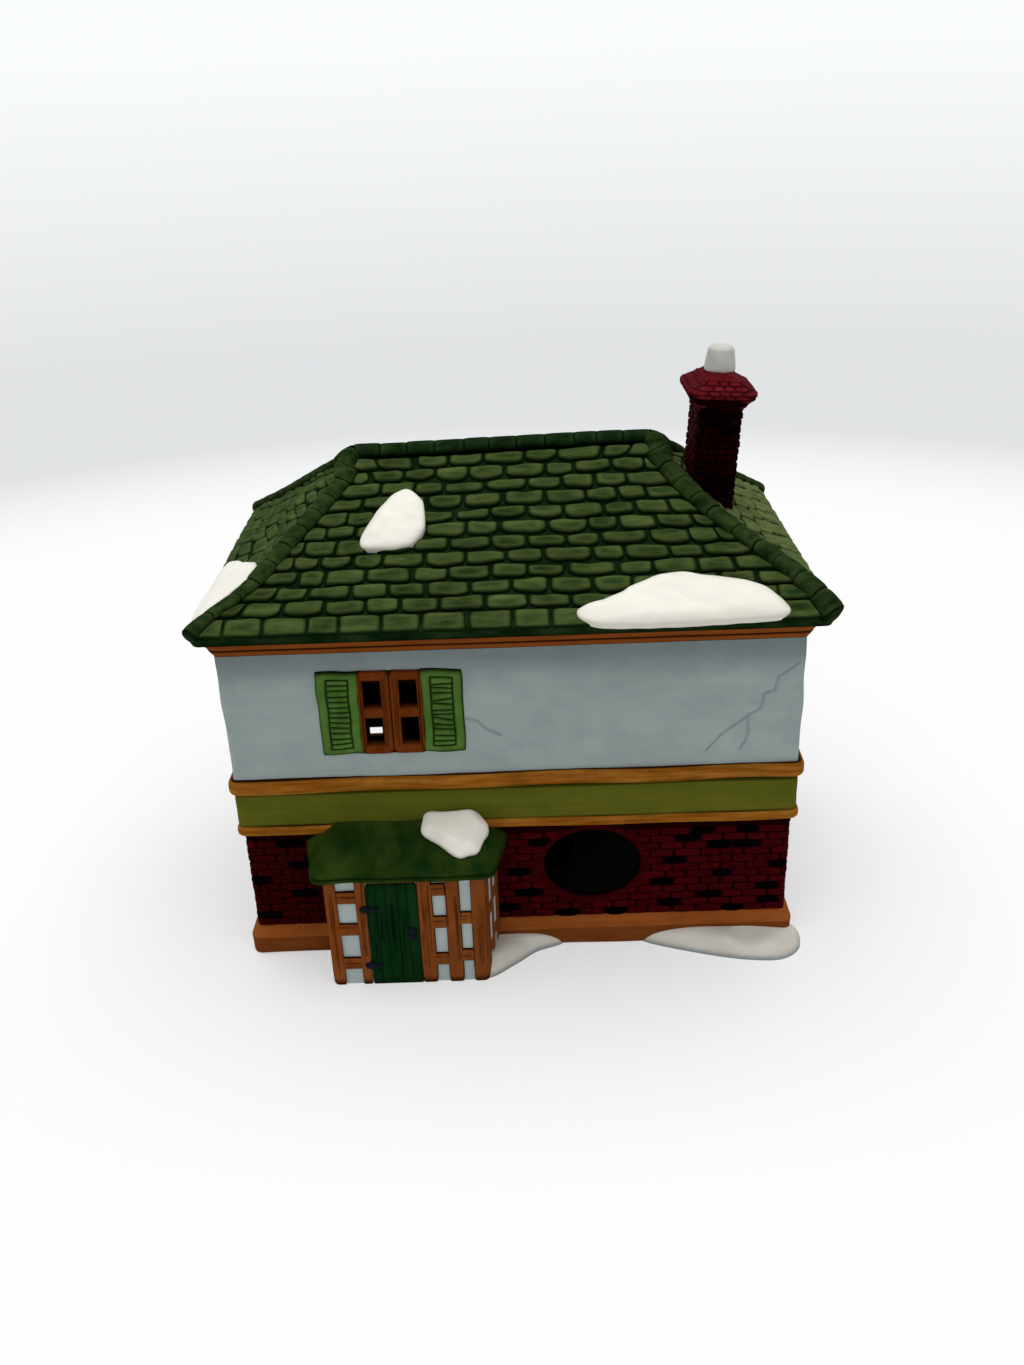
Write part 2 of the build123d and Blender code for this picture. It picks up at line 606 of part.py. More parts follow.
def door_leaf():
    """Sketches the door's outline, with rounded upper corners."""
    with Locations((DOOR_X, 0)):
        Rectangle(DOOR_WIDTH, DOOR_HEIGHT - DOOR_ROUND, align=(Align.CENTER, Align.MIN))
    with Locations((DOOR_X, DOOR_HEIGHT / 2)):
        RectangleRounded(DOOR_WIDTH, DOOR_HEIGHT, DOOR_ROUND)


def panels(columns):
    """Sketches columns of infill panels between their rails, up to the porch's eave."""
    for middle, width, rails in columns:
        feet = [PANEL_FOOT] + [rail + RAIL_HEIGHT / 2 for rail in rails]
        heads = [rail - RAIL_HEIGHT / 2 for rail in rails] + [PORCH_HEIGHT - TIMBER]
        for foot, head in zip(feet, heads):
            with Locations((middle, (foot + head) / 2)):
                Rectangle(width, head - foot)


with BuildPart() as porch_walls:
    with BuildSketch(porch_plan):
        porch_box(TIMBER)
    extrude(amount=PORCH_HEIGHT)
    with BuildSketch(porch_plan.offset(PORCH_FLOOR)):
        porch_box(TIMBER + PORCH_WALL)
    extrude(amount=PORCH_HEIGHT, mode=Mode.SUBTRACT)
    add(plinth.part, mode=Mode.SUBTRACT)
pieces["porch_walls"] = porch_walls.part

with BuildPart() as porch_timbers:
    with BuildSketch(porch_plan):
        porch_box(0)
        porch_box(TIMBER, mode=Mode.SUBTRACT)
    extrude(amount=PORCH_HEIGHT)
    with BuildSketch(porch_front):
        panels(FRONT_PANELS)
        door_leaf()
    extrude(amount=-TIMBER, mode=Mode.SUBTRACT)
    for hand in (-1, 1):
        cheek = Vector(PORCH_X + hand * (PORCH_WIDTH + PORCH_SPLAY) / 2, PORCH_FRONT_Y + PORCH_DEPTH / 2, 0)
        with BuildSketch(Plane(cheek, x_dir=UP.cross(cheek_normal(hand)), z_dir=cheek_normal(hand))):
            panels(SIDE_PANELS)
        extrude(amount=-TIMBER, mode=Mode.SUBTRACT)
    add(plinth.part, mode=Mode.SUBTRACT)
pieces["porch_timbers"] = porch_timbers.part

with BuildPart() as porch_door:
    with BuildSketch(porch_front.offset(-TIMBER)):
        door_leaf()
    extrude(amount=TIMBER)
    with BuildSketch(porch_front):
        with Locations((DOOR_X, DOOR_HEIGHT / 2)):
            with GridLocations(DOOR_WIDTH / BOARDS, 0, BOARDS - 1, 1):
                Rectangle(BOARD_GROOVE, DOOR_HEIGHT)
    extrude(amount=-BOARD_GROOVE_DEPTH, mode=Mode.SUBTRACT)
pieces["porch_door"] = porch_door.part

with BuildPart() as door_hinges:
    with BuildSketch(porch_front):
        hinge_x = DOOR_X - DOOR_WIDTH / 2 + HINGE_OVERLAP - HINGE_OUTLINE[3][0]
        with Locations((hinge_x, LOWER_HINGE_RISE), (hinge_x, UPPER_HINGE_RISE)):
            Polygon(*HINGE_OUTLINE)
    extrude(amount=HINGE_THICKNESS)
pieces["door_hinges"] = door_hinges.part

with BuildPart() as door_latch:
    with BuildSketch(porch_front):
        with Locations((DOOR_X + DOOR_WIDTH / 2 - LATCH_INSET, LATCH_RISE)):
            SlotOverall(LATCH_HEIGHT, LATCH_WIDTH, rotation=90)
    extrude(amount=LATCH_THICKNESS)
pieces["door_latch"] = door_latch.part

with BuildPart() as porch_roof:
    half_eave = PORCH_WIDTH / 2 + PORCH_EAVE
    half_back = half_eave + PORCH_RUN * PORCH_LEAN
    eave_y = PORCH_FRONT_Y - PORCH_EAVE
    eave_z = PORCH_HEIGHT + PORCH_EAVE_EDGE
    with BuildSketch(Plane((PORCH_X, eave_y, 0), x_dir=(0, 1, 0), z_dir=(1, 0, 0))):
        with BuildLine():
            Polyline(
                (0, PORCH_HEIGHT),
                (PORCH_RUN, PORCH_HEIGHT),
                (PORCH_RUN, eave_z + PORCH_ROOF_RISE),
                (0, eave_z),
                close=True,
            )
        make_face()
    extrude(amount=half_back, both=True)
    for hand in (-1, 1):
        outward = cheek_normal(hand) * PORCH_ROOF_RISE + UP * PORCH_HIP_RUN
        split(bisect_by=Plane((PORCH_X + hand * half_eave, eave_y, eave_z), z_dir=outward), keep=Keep.BOTTOM)
    with BuildSketch(Plane((PORCH_X, eave_y, PORCH_HEIGHT))):
        with BuildLine():
            FilletPolyline(
                (-half_back, PORCH_RUN),
                (-half_eave, 0),
                (half_eave, 0),
                (half_back, PORCH_RUN),
                radius=PORCH_CORNER,
            )
            Line((half_back, PORCH_RUN), (-half_back, PORCH_RUN))
        make_face()
    extrude(amount=PORCH_EAVE_EDGE + PORCH_ROOF_RISE, mode=Mode.INTERSECT)
    for course in (lower_belt, frieze_band):
        add(course.part, mode=Mode.SUBTRACT)
pieces["porch_roof"] = porch_roof.part

# Snow slid against the wall on the porch roof, and drifts on the table, cut to what they lie on
porch_normal = (0, -sin(PORCH_PITCH), cos(PORCH_PITCH))
porch_slope = Plane((PORCH_X, eave_y, eave_z), x_dir=(1, 0, 0), z_dir=porch_normal)
with BuildPart() as porch_snow:
    with BuildSketch(porch_slope.offset(-PORCH_SNOW)):
        with BuildLine():
            FilletPolyline(
                *placed(PORCH_SNOW_OUTLINE, half_eave - PORCH_SNOW_INSET, PORCH_SNOW_UP),
                radius=SNOW_ROUND,
                close=True,
            )
        make_face()
    extrude(amount=2 * PORCH_SNOW)
    crown_face = top_face(porch_snow, porch_slope)
    chamfer(crown_face.edges(), RIM_RUN * PORCH_SNOW, RIM_FALL * PORCH_SNOW, reference=crown_face)
    for under in (porch_roof, porch_walls, porch_timbers, brick_storey, lower_belt, frieze_band):
        add(under.part, mode=Mode.SUBTRACT)
pieces["porch_snow"] = porch_snow.part

with BuildPart() as footprint:
    with BuildSketch(level(0)):
        Rectangle(HOUSE_LENGTH + 2 * PLINTH_STEP, HOUSE_DEPTH + 2 * PLINTH_STEP)
    with BuildSketch(porch_plan):
        porch_box(0)
    extrude(amount=2 * DRIFT_HEIGHT)

FRONT_FACE_Y = HOUSE_Y - HOUSE_DEPTH / 2 - PLINTH_STEP
drifts = {
    "porch_drift": (PORCH_X + PORCH_WIDTH / 2, PORCH_DRIFT),
    "corner_drift": (HOUSE_LENGTH / 2 + PLINTH_STEP, CORNER_DRIFT),
}
for name, (corner_x, outline) in drifts.items():
    with BuildPart() as drift:
        ground = Plane((corner_x, FRONT_FACE_Y, 0))
        with BuildSketch(ground):
            with BuildLine():
                FilletPolyline(*outline, radius=DRIFT_ROUND, close=True)
            make_face()
        extrude(amount=DRIFT_HEIGHT)
        crown_face = top_face(drift, ground)
        chamfer(crown_face.edges(), RIM_RUN * DRIFT_HEIGHT, RIM_FALL * DRIFT_HEIGHT, reference=crown_face)
        add(footprint.part, mode=Mode.SUBTRACT)
    pieces[name] = drift.part

os.makedirs("parts", exist_ok=True)
for name, part in pieces.items():
    part.label = name
    export_step(part, f"parts/{name}.step")
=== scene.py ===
import math

import bpy
import numpy as np
from mathutils import Matrix, Vector


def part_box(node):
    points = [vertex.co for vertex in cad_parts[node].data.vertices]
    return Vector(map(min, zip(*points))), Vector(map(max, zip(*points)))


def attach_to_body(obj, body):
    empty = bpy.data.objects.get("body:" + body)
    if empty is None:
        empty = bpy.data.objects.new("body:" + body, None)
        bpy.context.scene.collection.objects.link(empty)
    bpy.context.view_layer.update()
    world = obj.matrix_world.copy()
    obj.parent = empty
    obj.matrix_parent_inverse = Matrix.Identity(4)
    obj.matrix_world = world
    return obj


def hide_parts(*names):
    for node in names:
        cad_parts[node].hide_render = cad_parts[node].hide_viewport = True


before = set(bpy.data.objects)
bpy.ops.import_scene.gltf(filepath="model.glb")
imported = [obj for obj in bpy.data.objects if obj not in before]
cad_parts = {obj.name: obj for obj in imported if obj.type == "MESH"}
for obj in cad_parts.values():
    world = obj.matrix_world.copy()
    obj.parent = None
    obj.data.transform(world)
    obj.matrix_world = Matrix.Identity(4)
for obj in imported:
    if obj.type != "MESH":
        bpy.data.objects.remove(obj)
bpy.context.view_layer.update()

# Looks of the porcelain village house: pillowed roof tiles, rolled caps, hand-laid bricks, rippled render
# with cracks, scored shutters, brushed timbers and glazed snow, all in matte paint with a dark wash,
# and with painted shade and painted light.
#
# Lengths are in millimetres until a mesh is made. A surface is a function (a, b, out) that gives points:
# a and b run along it, and out stands off it. Most pieces are drawn on such surfaces.

MM = 0.001
SIDES = ("front", "right", "rear", "left")
HANDS = {"left": -1, "right": 1}


def span(node):
    """Lowest and highest corners of a CAD node, in millimetres."""
    low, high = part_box(node)
    return np.array(low) / MM, np.array(high) / MM


# Sizes read from the CAD nodes' boxes
WALL_LOW, WALL_HIGH = span("rendered_storey")
HALF_X = WALL_HIGH[0]
HOUSE_Y = (WALL_LOW[1] + WALL_HIGH[1]) / 2
HALF_Y = WALL_HIGH[1] - HOUSE_Y
BRICK_LOW, BRICK_HIGH = span("brick_storey")
ROOF_LOW, ROOF_HIGH = span("roof_shell")
EAVE_X = ROOF_HIGH[0]
EAVE_Y = ROOF_HIGH[1] - HOUSE_Y
RIDGE_X = span("ridge_cap")[1][0]
RIDGE_Z = ROOF_HIGH[2]
LEAF_LOW, LEAF_HIGH = span("front_upper_left_leaf")
LEAF_WIDTH = LEAF_HIGH[0] - LEAF_LOW[0]
LOWER_LOW, LOWER_HIGH = span("rear_lower_left_leaf")
REAR_WINDOW = -LOWER_LOW[0]
PORCH_LOW, PORCH_HIGH = span("porch_timbers")
DOOR_LOW, DOOR_HIGH = span("porch_door")

# Sizes that the CAD nodes' boxes don't give
EAVE_EDGE = 3.5
EAVE_Z = ROOF_LOW[2] + EAVE_EDGE
LAMP_HOLE = (23.3, 29.4)
LAMP_HOLE_HALF = (15.35, 12.75)
PANE_WIDTH, PANE_HEIGHT, PANE_PITCH, PANE_SHIFT = 5.1, 8.6, 12.3, 0.6
SHUTTER_WIDTH = 12.1
CHIMNEY_INSET, CHIMNEY_FORWARD = 27.6, 2.0
CHIMNEY_HALF = (6.35, 10.0)
CHIMNEY_LEAN = math.radians(3.5)
STACK_HEIGHT = 25.0
PORCH_LEAN = 3.4 / 18.4
RAIL_HEIGHT = 4.4

# Lowest height of a point, just clear of the table
TABLE = 0.02


# Shape helpers

def ripple(a, b, size, seed):
    """Smooth uneven values of about -1 to 1 over a and b, with features of about the given size."""
    dice = np.random.default_rng(seed)
    total = np.zeros(np.broadcast(a, b).shape)
    for _ in range(6):
        turn = dice.uniform(0, 2 * math.pi)
        wave = size * dice.uniform(0.7, 1.6)
        phase = dice.uniform(0, 6.3)
        total += np.sin(2 * math.pi * (a * math.cos(turn) + b * math.sin(turn)) / wave + phase)
    return total / 3.0


def smooth(x, low, high):
    """0 below low, 1 above high, with a smooth step between."""
    t = np.clip((x - low) / (high - low), 0, 1)
    return t * t * (3 - 2 * t)


def eased(x, stops):
    """A value that eases from stop to stop, each given as (place, value)."""
    total = stops[0][1]
    for (low, start), (high, end) in zip(stops[:-1], stops[1:]):
        total = total + (end - start) * smooth(x, low, high)
    return total


def hump(x, middle, spread):
    """A bell curve: 1 at the middle, fading out over the spread on both sides."""
    return np.exp(-(((x - middle) / spread) ** 2))


def flat(origin, along, up):
    """A plane surface from an origin and two directions along it."""
    origin, along, up = (np.asarray(v, float) for v in (origin, along, up))
    out_dir = np.cross(along, up)

    def surface(a, b, out):
        a, b, out = np.broadcast_arrays(a, b, out)
        return origin + a[..., None] * along + b[..., None] * up + out[..., None] * out_dir

    return surface


class Loop:
    """A rounded rectangle walked round from the middle of its front, to the right."""

    def __init__(self, half_x, half_y, corner):
        self.corner = corner
        self.flat_x, self.flat_y = 2 * (half_x - corner), 2 * (half_y - corner)
        self.arc = corner * math.pi / 2
        self.starts = np.cumsum([0, self.flat_x + self.arc, self.flat_y + self.arc, self.flat_x + self.arc])
        self.length = 2 * (self.flat_x + self.flat_y + 2 * self.arc)
        side = self.flat_x / 2 + self.arc + self.flat_y / 2
        self.middle = {"front": 0.0, "right": side, "rear": self.length / 2, "left": -side}

    def at(self, u):
        """Points (x, y) and outward directions at distances u along the loop."""
        u = np.mod(np.asarray(u, float) + self.flat_x / 2, self.length)
        side = np.searchsorted(self.starts, u, "right") - 1
        run = np.where(side % 2, self.flat_y, self.flat_x)
        along = u - self.starts[side]
        left = np.maximum(run - along, 0)
        heading = side * math.pi / 2
        turn = heading + np.clip((along - run) / self.corner, 0, math.pi / 2)
        corner_x = np.array([1, 1, -1, -1])[side] * self.flat_x / 2
        corner_y = np.array([-1, 1, 1, -1])[side] * self.flat_y / 2
        x = corner_x - left * np.cos(heading) + self.corner * np.sin(turn)
        y = corner_y - left * np.sin(heading) - self.corner * np.cos(turn)
        return x, y, np.sin(turn), -np.cos(turn)

    def stops(self, step, extra=()):
        """Distances along the loop for a grid: even steps, fine at the corners, with the extra ones met."""
        half = self.length / 2
        marks = list(np.linspace(-half, half, int(self.length / step) + 1))
        for hand in (-1, 1):
            for base in (self.flat_x / 2, self.flat_x / 2 + self.arc + self.flat_y):
                marks += [hand * (base + self.arc * t) for t in (0, 0.25, 0.5, 0.75, 1)]
        marks = np.array(sorted(marks))
        marks = marks[np.concatenate([[True], np.diff(marks) > 0.05])]
        for place in extra:
            place = self.wrapped(place)
            marks[np.argmin(np.abs(marks - place))] = place
        return marks

    def wrapped(self, u):
        """The same place with a distance between minus and plus half the loop."""
        return (u + self.length / 2) % self.length - self.length / 2

    def seamless(self, u, reach=14):
        """1 round the loop, easing to 0 over the reach before its two ends meet."""
        return 1 - smooth(np.abs(u), self.length / 2 - reach, self.length / 2)


def around(loop, middle=(0.0, 0.0)):
    """The upright surface round a loop: a along it, b up, out outwards."""

    def surface(a, b, out):
        a, b, out = np.broadcast_arrays(np.asarray(a, float), b, out)
        x, y, nx, ny = loop.at(a)
        return np.stack([middle[0] + x + nx * out, middle[1] + y + ny * out, b + 0 * x], -1)

    return surface


# Values that each point of a mesh gives to its paint: dark wash, which also carries painted shade,
# light or dark tone, which also carries painted light and shade, and rubbed rim
VALUES = ("wash_and_shade", "tone", "rim")


def attach(mesh, label, values):
    """Stores one of the paint's values at every point of a mesh."""
    layer = mesh.attributes.new(label, "FLOAT", "POINT")
    layer.data.foreach_set("value", np.broadcast_to(values, len(mesh.vertices)).astype(np.float32))


def show(name, data):
    """Adds an object to the scene."""
    made = bpy.data.objects.new(name, data)
    bpy.context.scene.collection.objects.link(made)
    return made


def put(node, mesh, material, name=None):
    """Shows a mesh as one piece of the part, in place of a CAD node."""
    mesh.shade_smooth()
    mesh.materials.append(material)
    piece = show("look_" + (name or node), mesh)
    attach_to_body(piece, "root")
    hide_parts(node)


class Piece:
    """Collects points, faces and paint values for one visible piece."""

    def __init__(self):
        self.points, self.faces, self.count = [], [], 0
        self.values = {label: [] for label in VALUES}

    def grid(self, points, wash_and_shade=0.0, tone=0.5, rim=0.0, keep=None):
        """Adds a grid of points as four-sided faces. keep says which faces stay."""
        rows, columns = points.shape[:2]
        index = self.count + np.arange(rows * columns).reshape(rows, columns)
        quads = np.stack([index[:-1, :-1], index[1:, :-1], index[1:, 1:], index[:-1, 1:]], -1)
        self.faces.append(quads[keep] if keep is not None else quads.reshape(-1, 4))
        self.points.append(points.reshape(-1, 3))
        for store, value in zip(self.values.values(), (wash_and_shade, tone, rim)):
            store.append(np.broadcast_to(value, (rows, columns)).reshape(-1))
        self.count += rows * columns

    def make(self, node, material, slot, name=None):
        """Makes the piece's mesh and shows it in place of a CAD node."""
        mesh = bpy.data.meshes.new(name or node)
        points = np.concatenate(self.points) * MM
        mesh.from_pydata(points.tolist(), [], np.concatenate(self.faces).tolist())
        for label, store in self.values.items():
            attach(mesh, label, np.concatenate(store))
        mesh.validate()
        put(node, mesh, material, name)


def pillow(piece, surface, left, right, low, high, *, thick, power, crown, cells, sink, foot_power=None,
           tone=0.5, tilt=0.0, wash_and_shade=0.0, wash_edge=0.8, score=None):
    """Adds a rounded block on a surface.

    left and right are its edges, or pairs of them at low and at high. A low power rounds its corners more,
    and a low crown its face. tilt makes its foot thicker than its head, sink is how deep its rim goes, and
    its wash value darkens it all over, as dark wash and as painted shade, and at the rim from wash_edge
    outwards. score cuts grooves in it.
    """
    s, t = (np.sin(np.linspace(-1, 1, count + 1) * math.pi / 2) for count in cells)
    s, t = np.meshgrid(s, t, indexing="ij")
    reach = np.maximum(np.abs(s), np.abs(t))
    p = np.where(t < 0, foot_power or power, power)
    norm = (np.abs(s) ** p + np.abs(t) ** p) ** (1 / p)
    k = np.where(norm > 0, reach / np.maximum(norm, 1e-9), 1.0)
    share_a, share_b = (s * k + 1) / 2, (t * k + 1) / 2
    (left_foot, left_head), (right_foot, right_head) = np.broadcast_to(left, 2), np.broadcast_to(right, 2)
    edge_left = left_foot + (left_head - left_foot) * share_b
    edge_right = right_foot + (right_head - right_foot) * share_b
    a = edge_left + (edge_right - edge_left) * share_a
    b = low + (high - low) * share_b
    out = thick * np.sqrt(np.clip(1 - reach ** crown, 0, 1)) * (1 - tilt * t)
    out = np.where(reach > 0.999, -sink, out)
    dark = np.maximum(wash_and_shade, smooth(reach, wash_edge, 1.0))
    if score is not None:
        depth, line = score(a, b)
        out = out - depth * (reach < 0.97)
        dark = np.maximum(dark, line)
    rim = smooth(reach, 0.35, 0.75) * (1 - smooth(reach, 0.82, 0.97))
    piece.grid(surface(a, b, out), dark, tone(a, b) if callable(tone) else tone, rim)


def strokes(lines, width, depth, dark=1.0):
    """A score function: grooves along straight lines ((a, b), (a, b)) scribed by hand."""

    def score(a, b):
        near = np.full(np.shape(a), 1e9)
        for (a0, b0), (a1, b1) in lines:
            la, lb = a1 - a0, b1 - b0
            share = np.clip(((a - a0) * la + (b - b0) * lb) / (la * la + lb * lb), 0, 1)
            near = np.minimum(near, np.hypot(a - a0 - share * la, b - b0 - share * lb))
        cut = hump(near, 0, width)
        return depth * cut, dark * cut

    return score


def soften(node, voxel, rounds, uneven, size, seed, wash_and_shade=None):
    """A CAD node's shape with rounded, slightly uneven faces, as fired clay has."""
    copy = show("soft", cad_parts[node].data.copy())
    remesh = copy.modifiers.new("remesh", "REMESH")
    remesh.mode, remesh.voxel_size = "VOXEL", voxel * MM
    ease = copy.modifiers.new("ease", "SMOOTH")
    ease.factor, ease.iterations = 0.5, rounds
    mesh = bpy.data.meshes.new_from_object(copy.evaluated_get(bpy.context.evaluated_depsgraph_get()))
    bpy.data.objects.remove(copy)
    mesh.materials.clear()
    points, normals = np.zeros(len(mesh.vertices) * 3), np.zeros(len(mesh.vertices) * 3)
    mesh.vertices.foreach_get("co", points)
    mesh.vertices.foreach_get("normal", normals)
    points = points.reshape(-1, 3) / MM
    x, y, z = points.T
    push = uneven * ripple(x + 0.7 * z, y - 0.7 * z, size, seed)
    points += normals.reshape(-1, 3) * push[:, None]
    points[:, 2] = np.maximum(points[:, 2], TABLE)
    mesh.vertices.foreach_set("co", (points * MM).ravel())
    attach(mesh, "tone", 0.5)
    attach(mesh, "wash_and_shade", wash_and_shade(points) if wash_and_shade else 0.0)
    return mesh


# Paints

def tint(red, green, blue):
    """A colour as a screen shows it, 0 to 255, in the shader's linear values."""
    share = np.array([red, green, blue]) / 255
    linear = np.where(share <= 0.04045, share / 12.92, ((share + 0.055) / 1.055) ** 2.4)
    return (*linear.tolist(), 1.0)


def add(tree, kind, sockets=(), **settings):
    """Adds a shader node to a tree. sockets gives its inputs values or the outputs of other nodes."""
    made = tree.nodes.new("ShaderNode" + kind)
    for key, value in settings.items():
        setattr(made, key, value)
    for key, value in dict(sockets).items():
        if isinstance(value, bpy.types.NodeSocket):
            tree.links.new(value, made.inputs[key])
        else:
            made.inputs[key].default_value = value
    return made


def remap(tree, value, low, high, to_low=0.0, to_high=1.0):
    """A socket whose value runs from to_low to to_high while the given one runs from low to high."""
    return add(tree, "MapRange", enumerate((value, low, high, to_low, to_high))).outputs[0]


def paint(name, base, dark, light, stroke, mottle=0.5, rough=0.7, shine=0.008, tone_share=0.4, foot=None):
    """Matte brushed paint: uneven base colour, a dark wash in the hollows that also carries painted shade,
    and lighter rubbed edges.

    stroke says how fine the brush marks are along x, y and z. foot is (colour, height): a painted shadow
    that darkens the colour along the table, up to that height.
    """
    material = bpy.data.materials.new(name)
    material.use_nodes = True
    tree = material.node_tree
    bsdf = tree.nodes["Principled BSDF"]
    bsdf.inputs["Specular IOR Level"].default_value = shine
    base, dark, light = tint(*base), tint(*dark), tint(*light)
    place = add(tree, "TexCoord").outputs["Object"]

    def noise(scale, detail, roughness=0.55):
        spot = add(tree, "Mapping", {"Vector": place, "Scale": scale}).outputs[0]
        sockets = {"Vector": spot, "Scale": 1.0, "Detail": detail, "Roughness": roughness}
        return add(tree, "TexNoise", sockets).outputs[0]

    def mix(factor, a, b, blend="MIX"):
        return add(tree, "Mix", {0: factor, 6: a, 7: b}, data_type="RGBA", blend_type=blend).outputs[2]

    wash_and_shade, tone, rim = (add(tree, "Attribute", attribute_name=label).outputs["Fac"] for label in VALUES)
    brushed = noise(stroke, 5.0, 0.62)
    clouds = noise((90, 90, 90), 3.0)
    speck = noise((2600, 2600, 2600), 2.0)

    colour = mix(remap(tree, brushed, 0.35, 0.68, 0.0, mottle), base, light)
    colour = mix(remap(tree, clouds, 0.4, 0.75, 0.0, 0.45 * mottle), colour, dark)
    shade = mix(tone, (1 - tone_share,) * 4, (1 + tone_share,) * 4)
    colour = mix(1.0, colour, shade, "MULTIPLY")
    colour = mix(remap(tree, rim, 0.0, 1.0, 0.0, 0.4 * mottle), colour, light)
    colour = mix(wash_and_shade, colour, dark)
    colour = mix(remap(tree, speck, 0.3, 0.7, 0.0, 0.18), colour, (0.6, 0.6, 0.6, 1.0), "MULTIPLY")
    # A painted shadow along the table, at the piece's foot.
    if foot is not None:
        position = add(tree, "NewGeometry").outputs["Position"]
        height = add(tree, "SeparateXYZ", {0: position}).outputs[2]
        colour = mix(remap(tree, height, 0.2 * MM, foot[1] * MM, 0.85, 0.0), colour, tint(*foot[0]))
    bump = add(tree, "Bump", {"Strength": 0.25, "Distance": 0.25 * MM, "Height": mix(0.35, brushed, speck)})
    tree.links.new(colour, bsdf.inputs["Base Color"])
    tree.links.new(remap(tree, brushed, 0.3, 0.7, rough - 0.1, rough + 0.1), bsdf.inputs["Roughness"])
    tree.links.new(bump.outputs[0], bsdf.inputs["Normal"])
    return material


TILE = paint("tile paint", (30, 53, 22), (4, 22, 5), (88, 100, 54), (90, 300, 300), 0.7)
# Painted light: the right slope's tiles are painted lighter, for the sheen of the light falling on that
# slope.
LIT_TILE = paint("lit tile paint", (58, 74, 37), (14, 30, 8), (104, 112, 70), (90, 300, 300), 0.65)
CAP = paint("cap paint", (10, 34, 10), (0, 7, 0), (56, 78, 44), (160, 300, 300))
HIP = paint("hip paint", (12, 35, 11), (0, 9, 0), (68, 82, 42), (200, 300, 300), 0.6)
RENDER = paint("render paint", (154, 166, 165), (100, 112, 114), (168, 179, 178), (40, 40, 200), 0.45, 0.75)
CORNICE = paint("cornice paint", (122, 62, 20), (34, 12, 3), (142, 82, 36), (60, 60, 900))
CASEMENT = paint("casement paint", (97, 42, 10), (20, 5, 0), (124, 66, 26), (500, 500, 120))
SHUTTER = paint("shutter paint", (64, 98, 36), (5, 20, 3), (90, 126, 58), (260, 260, 200), 0.9)
BELT = paint("belt paint", (128, 72, 10), (30, 11, 0), (172, 116, 46), (60, 60, 700), 0.8)
FRIEZE = paint("frieze paint", (88, 90, 26), (54, 56, 10), (104, 106, 36), (35, 35, 500))
BRICK = paint("brick paint", (46, 1, 5), (2, 0, 0), (80, 9, 16), (300, 300, 500))
HEAD_BRICK = paint("head brick paint", (92, 12, 20), (10, 0, 1), (126, 40, 46), (300, 300, 500))
PLINTH = paint("plinth paint", (138, 73, 28), (50, 18, 3), (164, 98, 50), (45, 45, 500))
TIMBER = paint("timber paint", (116, 58, 20), (36, 12, 2), (144, 84, 42), (500, 500, 60), 0.6)
INFILL = paint("infill paint", (174, 185, 184), (120, 130, 131), (188, 198, 197), (90, 90, 90), 0.4, 0.75)
DOOR = paint("door paint", (6, 36, 14), (0, 10, 2), (24, 60, 26), (600, 600, 60))
IRON = paint("iron paint", (5, 8, 18), (1, 2, 6), (18, 22, 38), (300, 300, 300), rough=0.5, shine=0.06)
PORCH_ROOF = paint("porch roof paint", (16, 44, 12), (1, 16, 2), (62, 74, 24), (120, 60, 100), 0.7)
SNOW = paint("snow glaze", (238, 235, 223), (204, 200, 186), (246, 244, 236), (70, 70, 70), 0.35,
             rough=0.35, shine=0.3, tone_share=0.0)
POT = paint("pot glaze", (192, 193, 186), (140, 138, 130), (210, 210, 204), (90, 90, 90), 0.4, rough=0.4,
            shine=0.2)
# The drifts' glaze is darker than the roof snow's, as painted shade where they lie by the house, and it
# turns grey-blue along the table as a painted shadow.
DRIFT = paint("drift glaze and shade", (206, 202, 191), (160, 150, 136), (224, 222, 214), (70, 70, 70), 0.35,
              rough=0.35, shine=0.3, tone_share=0.0, foot=((110, 132, 136), 1.6))
# The bisque is painted much darker than bare bisque: painted shade for the unlit inside of the house.
SHADED_BISQUE = paint("bisque", (70, 67, 64), (40, 38, 36), (84, 80, 77), (80, 80, 80), rough=0.8)


# Roof: a deck under pillowed tiles, with rolled caps over the ridge and the hips

# How far the hips slipped inwards in the kiln: share of the way down, and millimetres
RIGHT_SLIP = ((0.0, 1.0), (0.12, 5.0), (0.3, 5.7), (0.85, -1.4), (1.0, 0.0))
LEFT_SLIP = ((0.0, 0.8), (0.15, 5.6), (0.7, 6.1), (0.95, 0.6))
HIP_SPREAD, RIDGE_SPREAD = 22.0, 14.0
RIDGE_PULL, RIDGE_LIFT = 1.2, 1.5


def sag(points):
    """Lets the hips slip inwards of their straight lines and the ridge's right end slip in and up."""
    x, y, z = points[..., 0], points[..., 1] - HOUSE_Y, points[..., 2]
    fall = (RIDGE_Z - z) / (RIDGE_Z - EAVE_Z)
    hip = RIDGE_X + (EAVE_X - RIDGE_X) * np.clip(fall, 0, 1)
    slip = np.where(x > 0, eased(fall, RIGHT_SLIP), eased(fall, LEFT_SLIP))
    slip = slip * hump(np.abs(x), hip, HIP_SPREAD) * (1 - 0.6 * smooth(y, -12, 12))
    near = hump(z, RIDGE_Z, RIDGE_SPREAD)
    pull = RIDGE_PULL * near * smooth(x, 10.0, RIDGE_X)
    lift = RIDGE_LIFT * near * smooth(x, -RIDGE_X, RIDGE_X)
    return np.stack([x - np.sign(x) * slip - pull, points[..., 1], z + lift], -1)


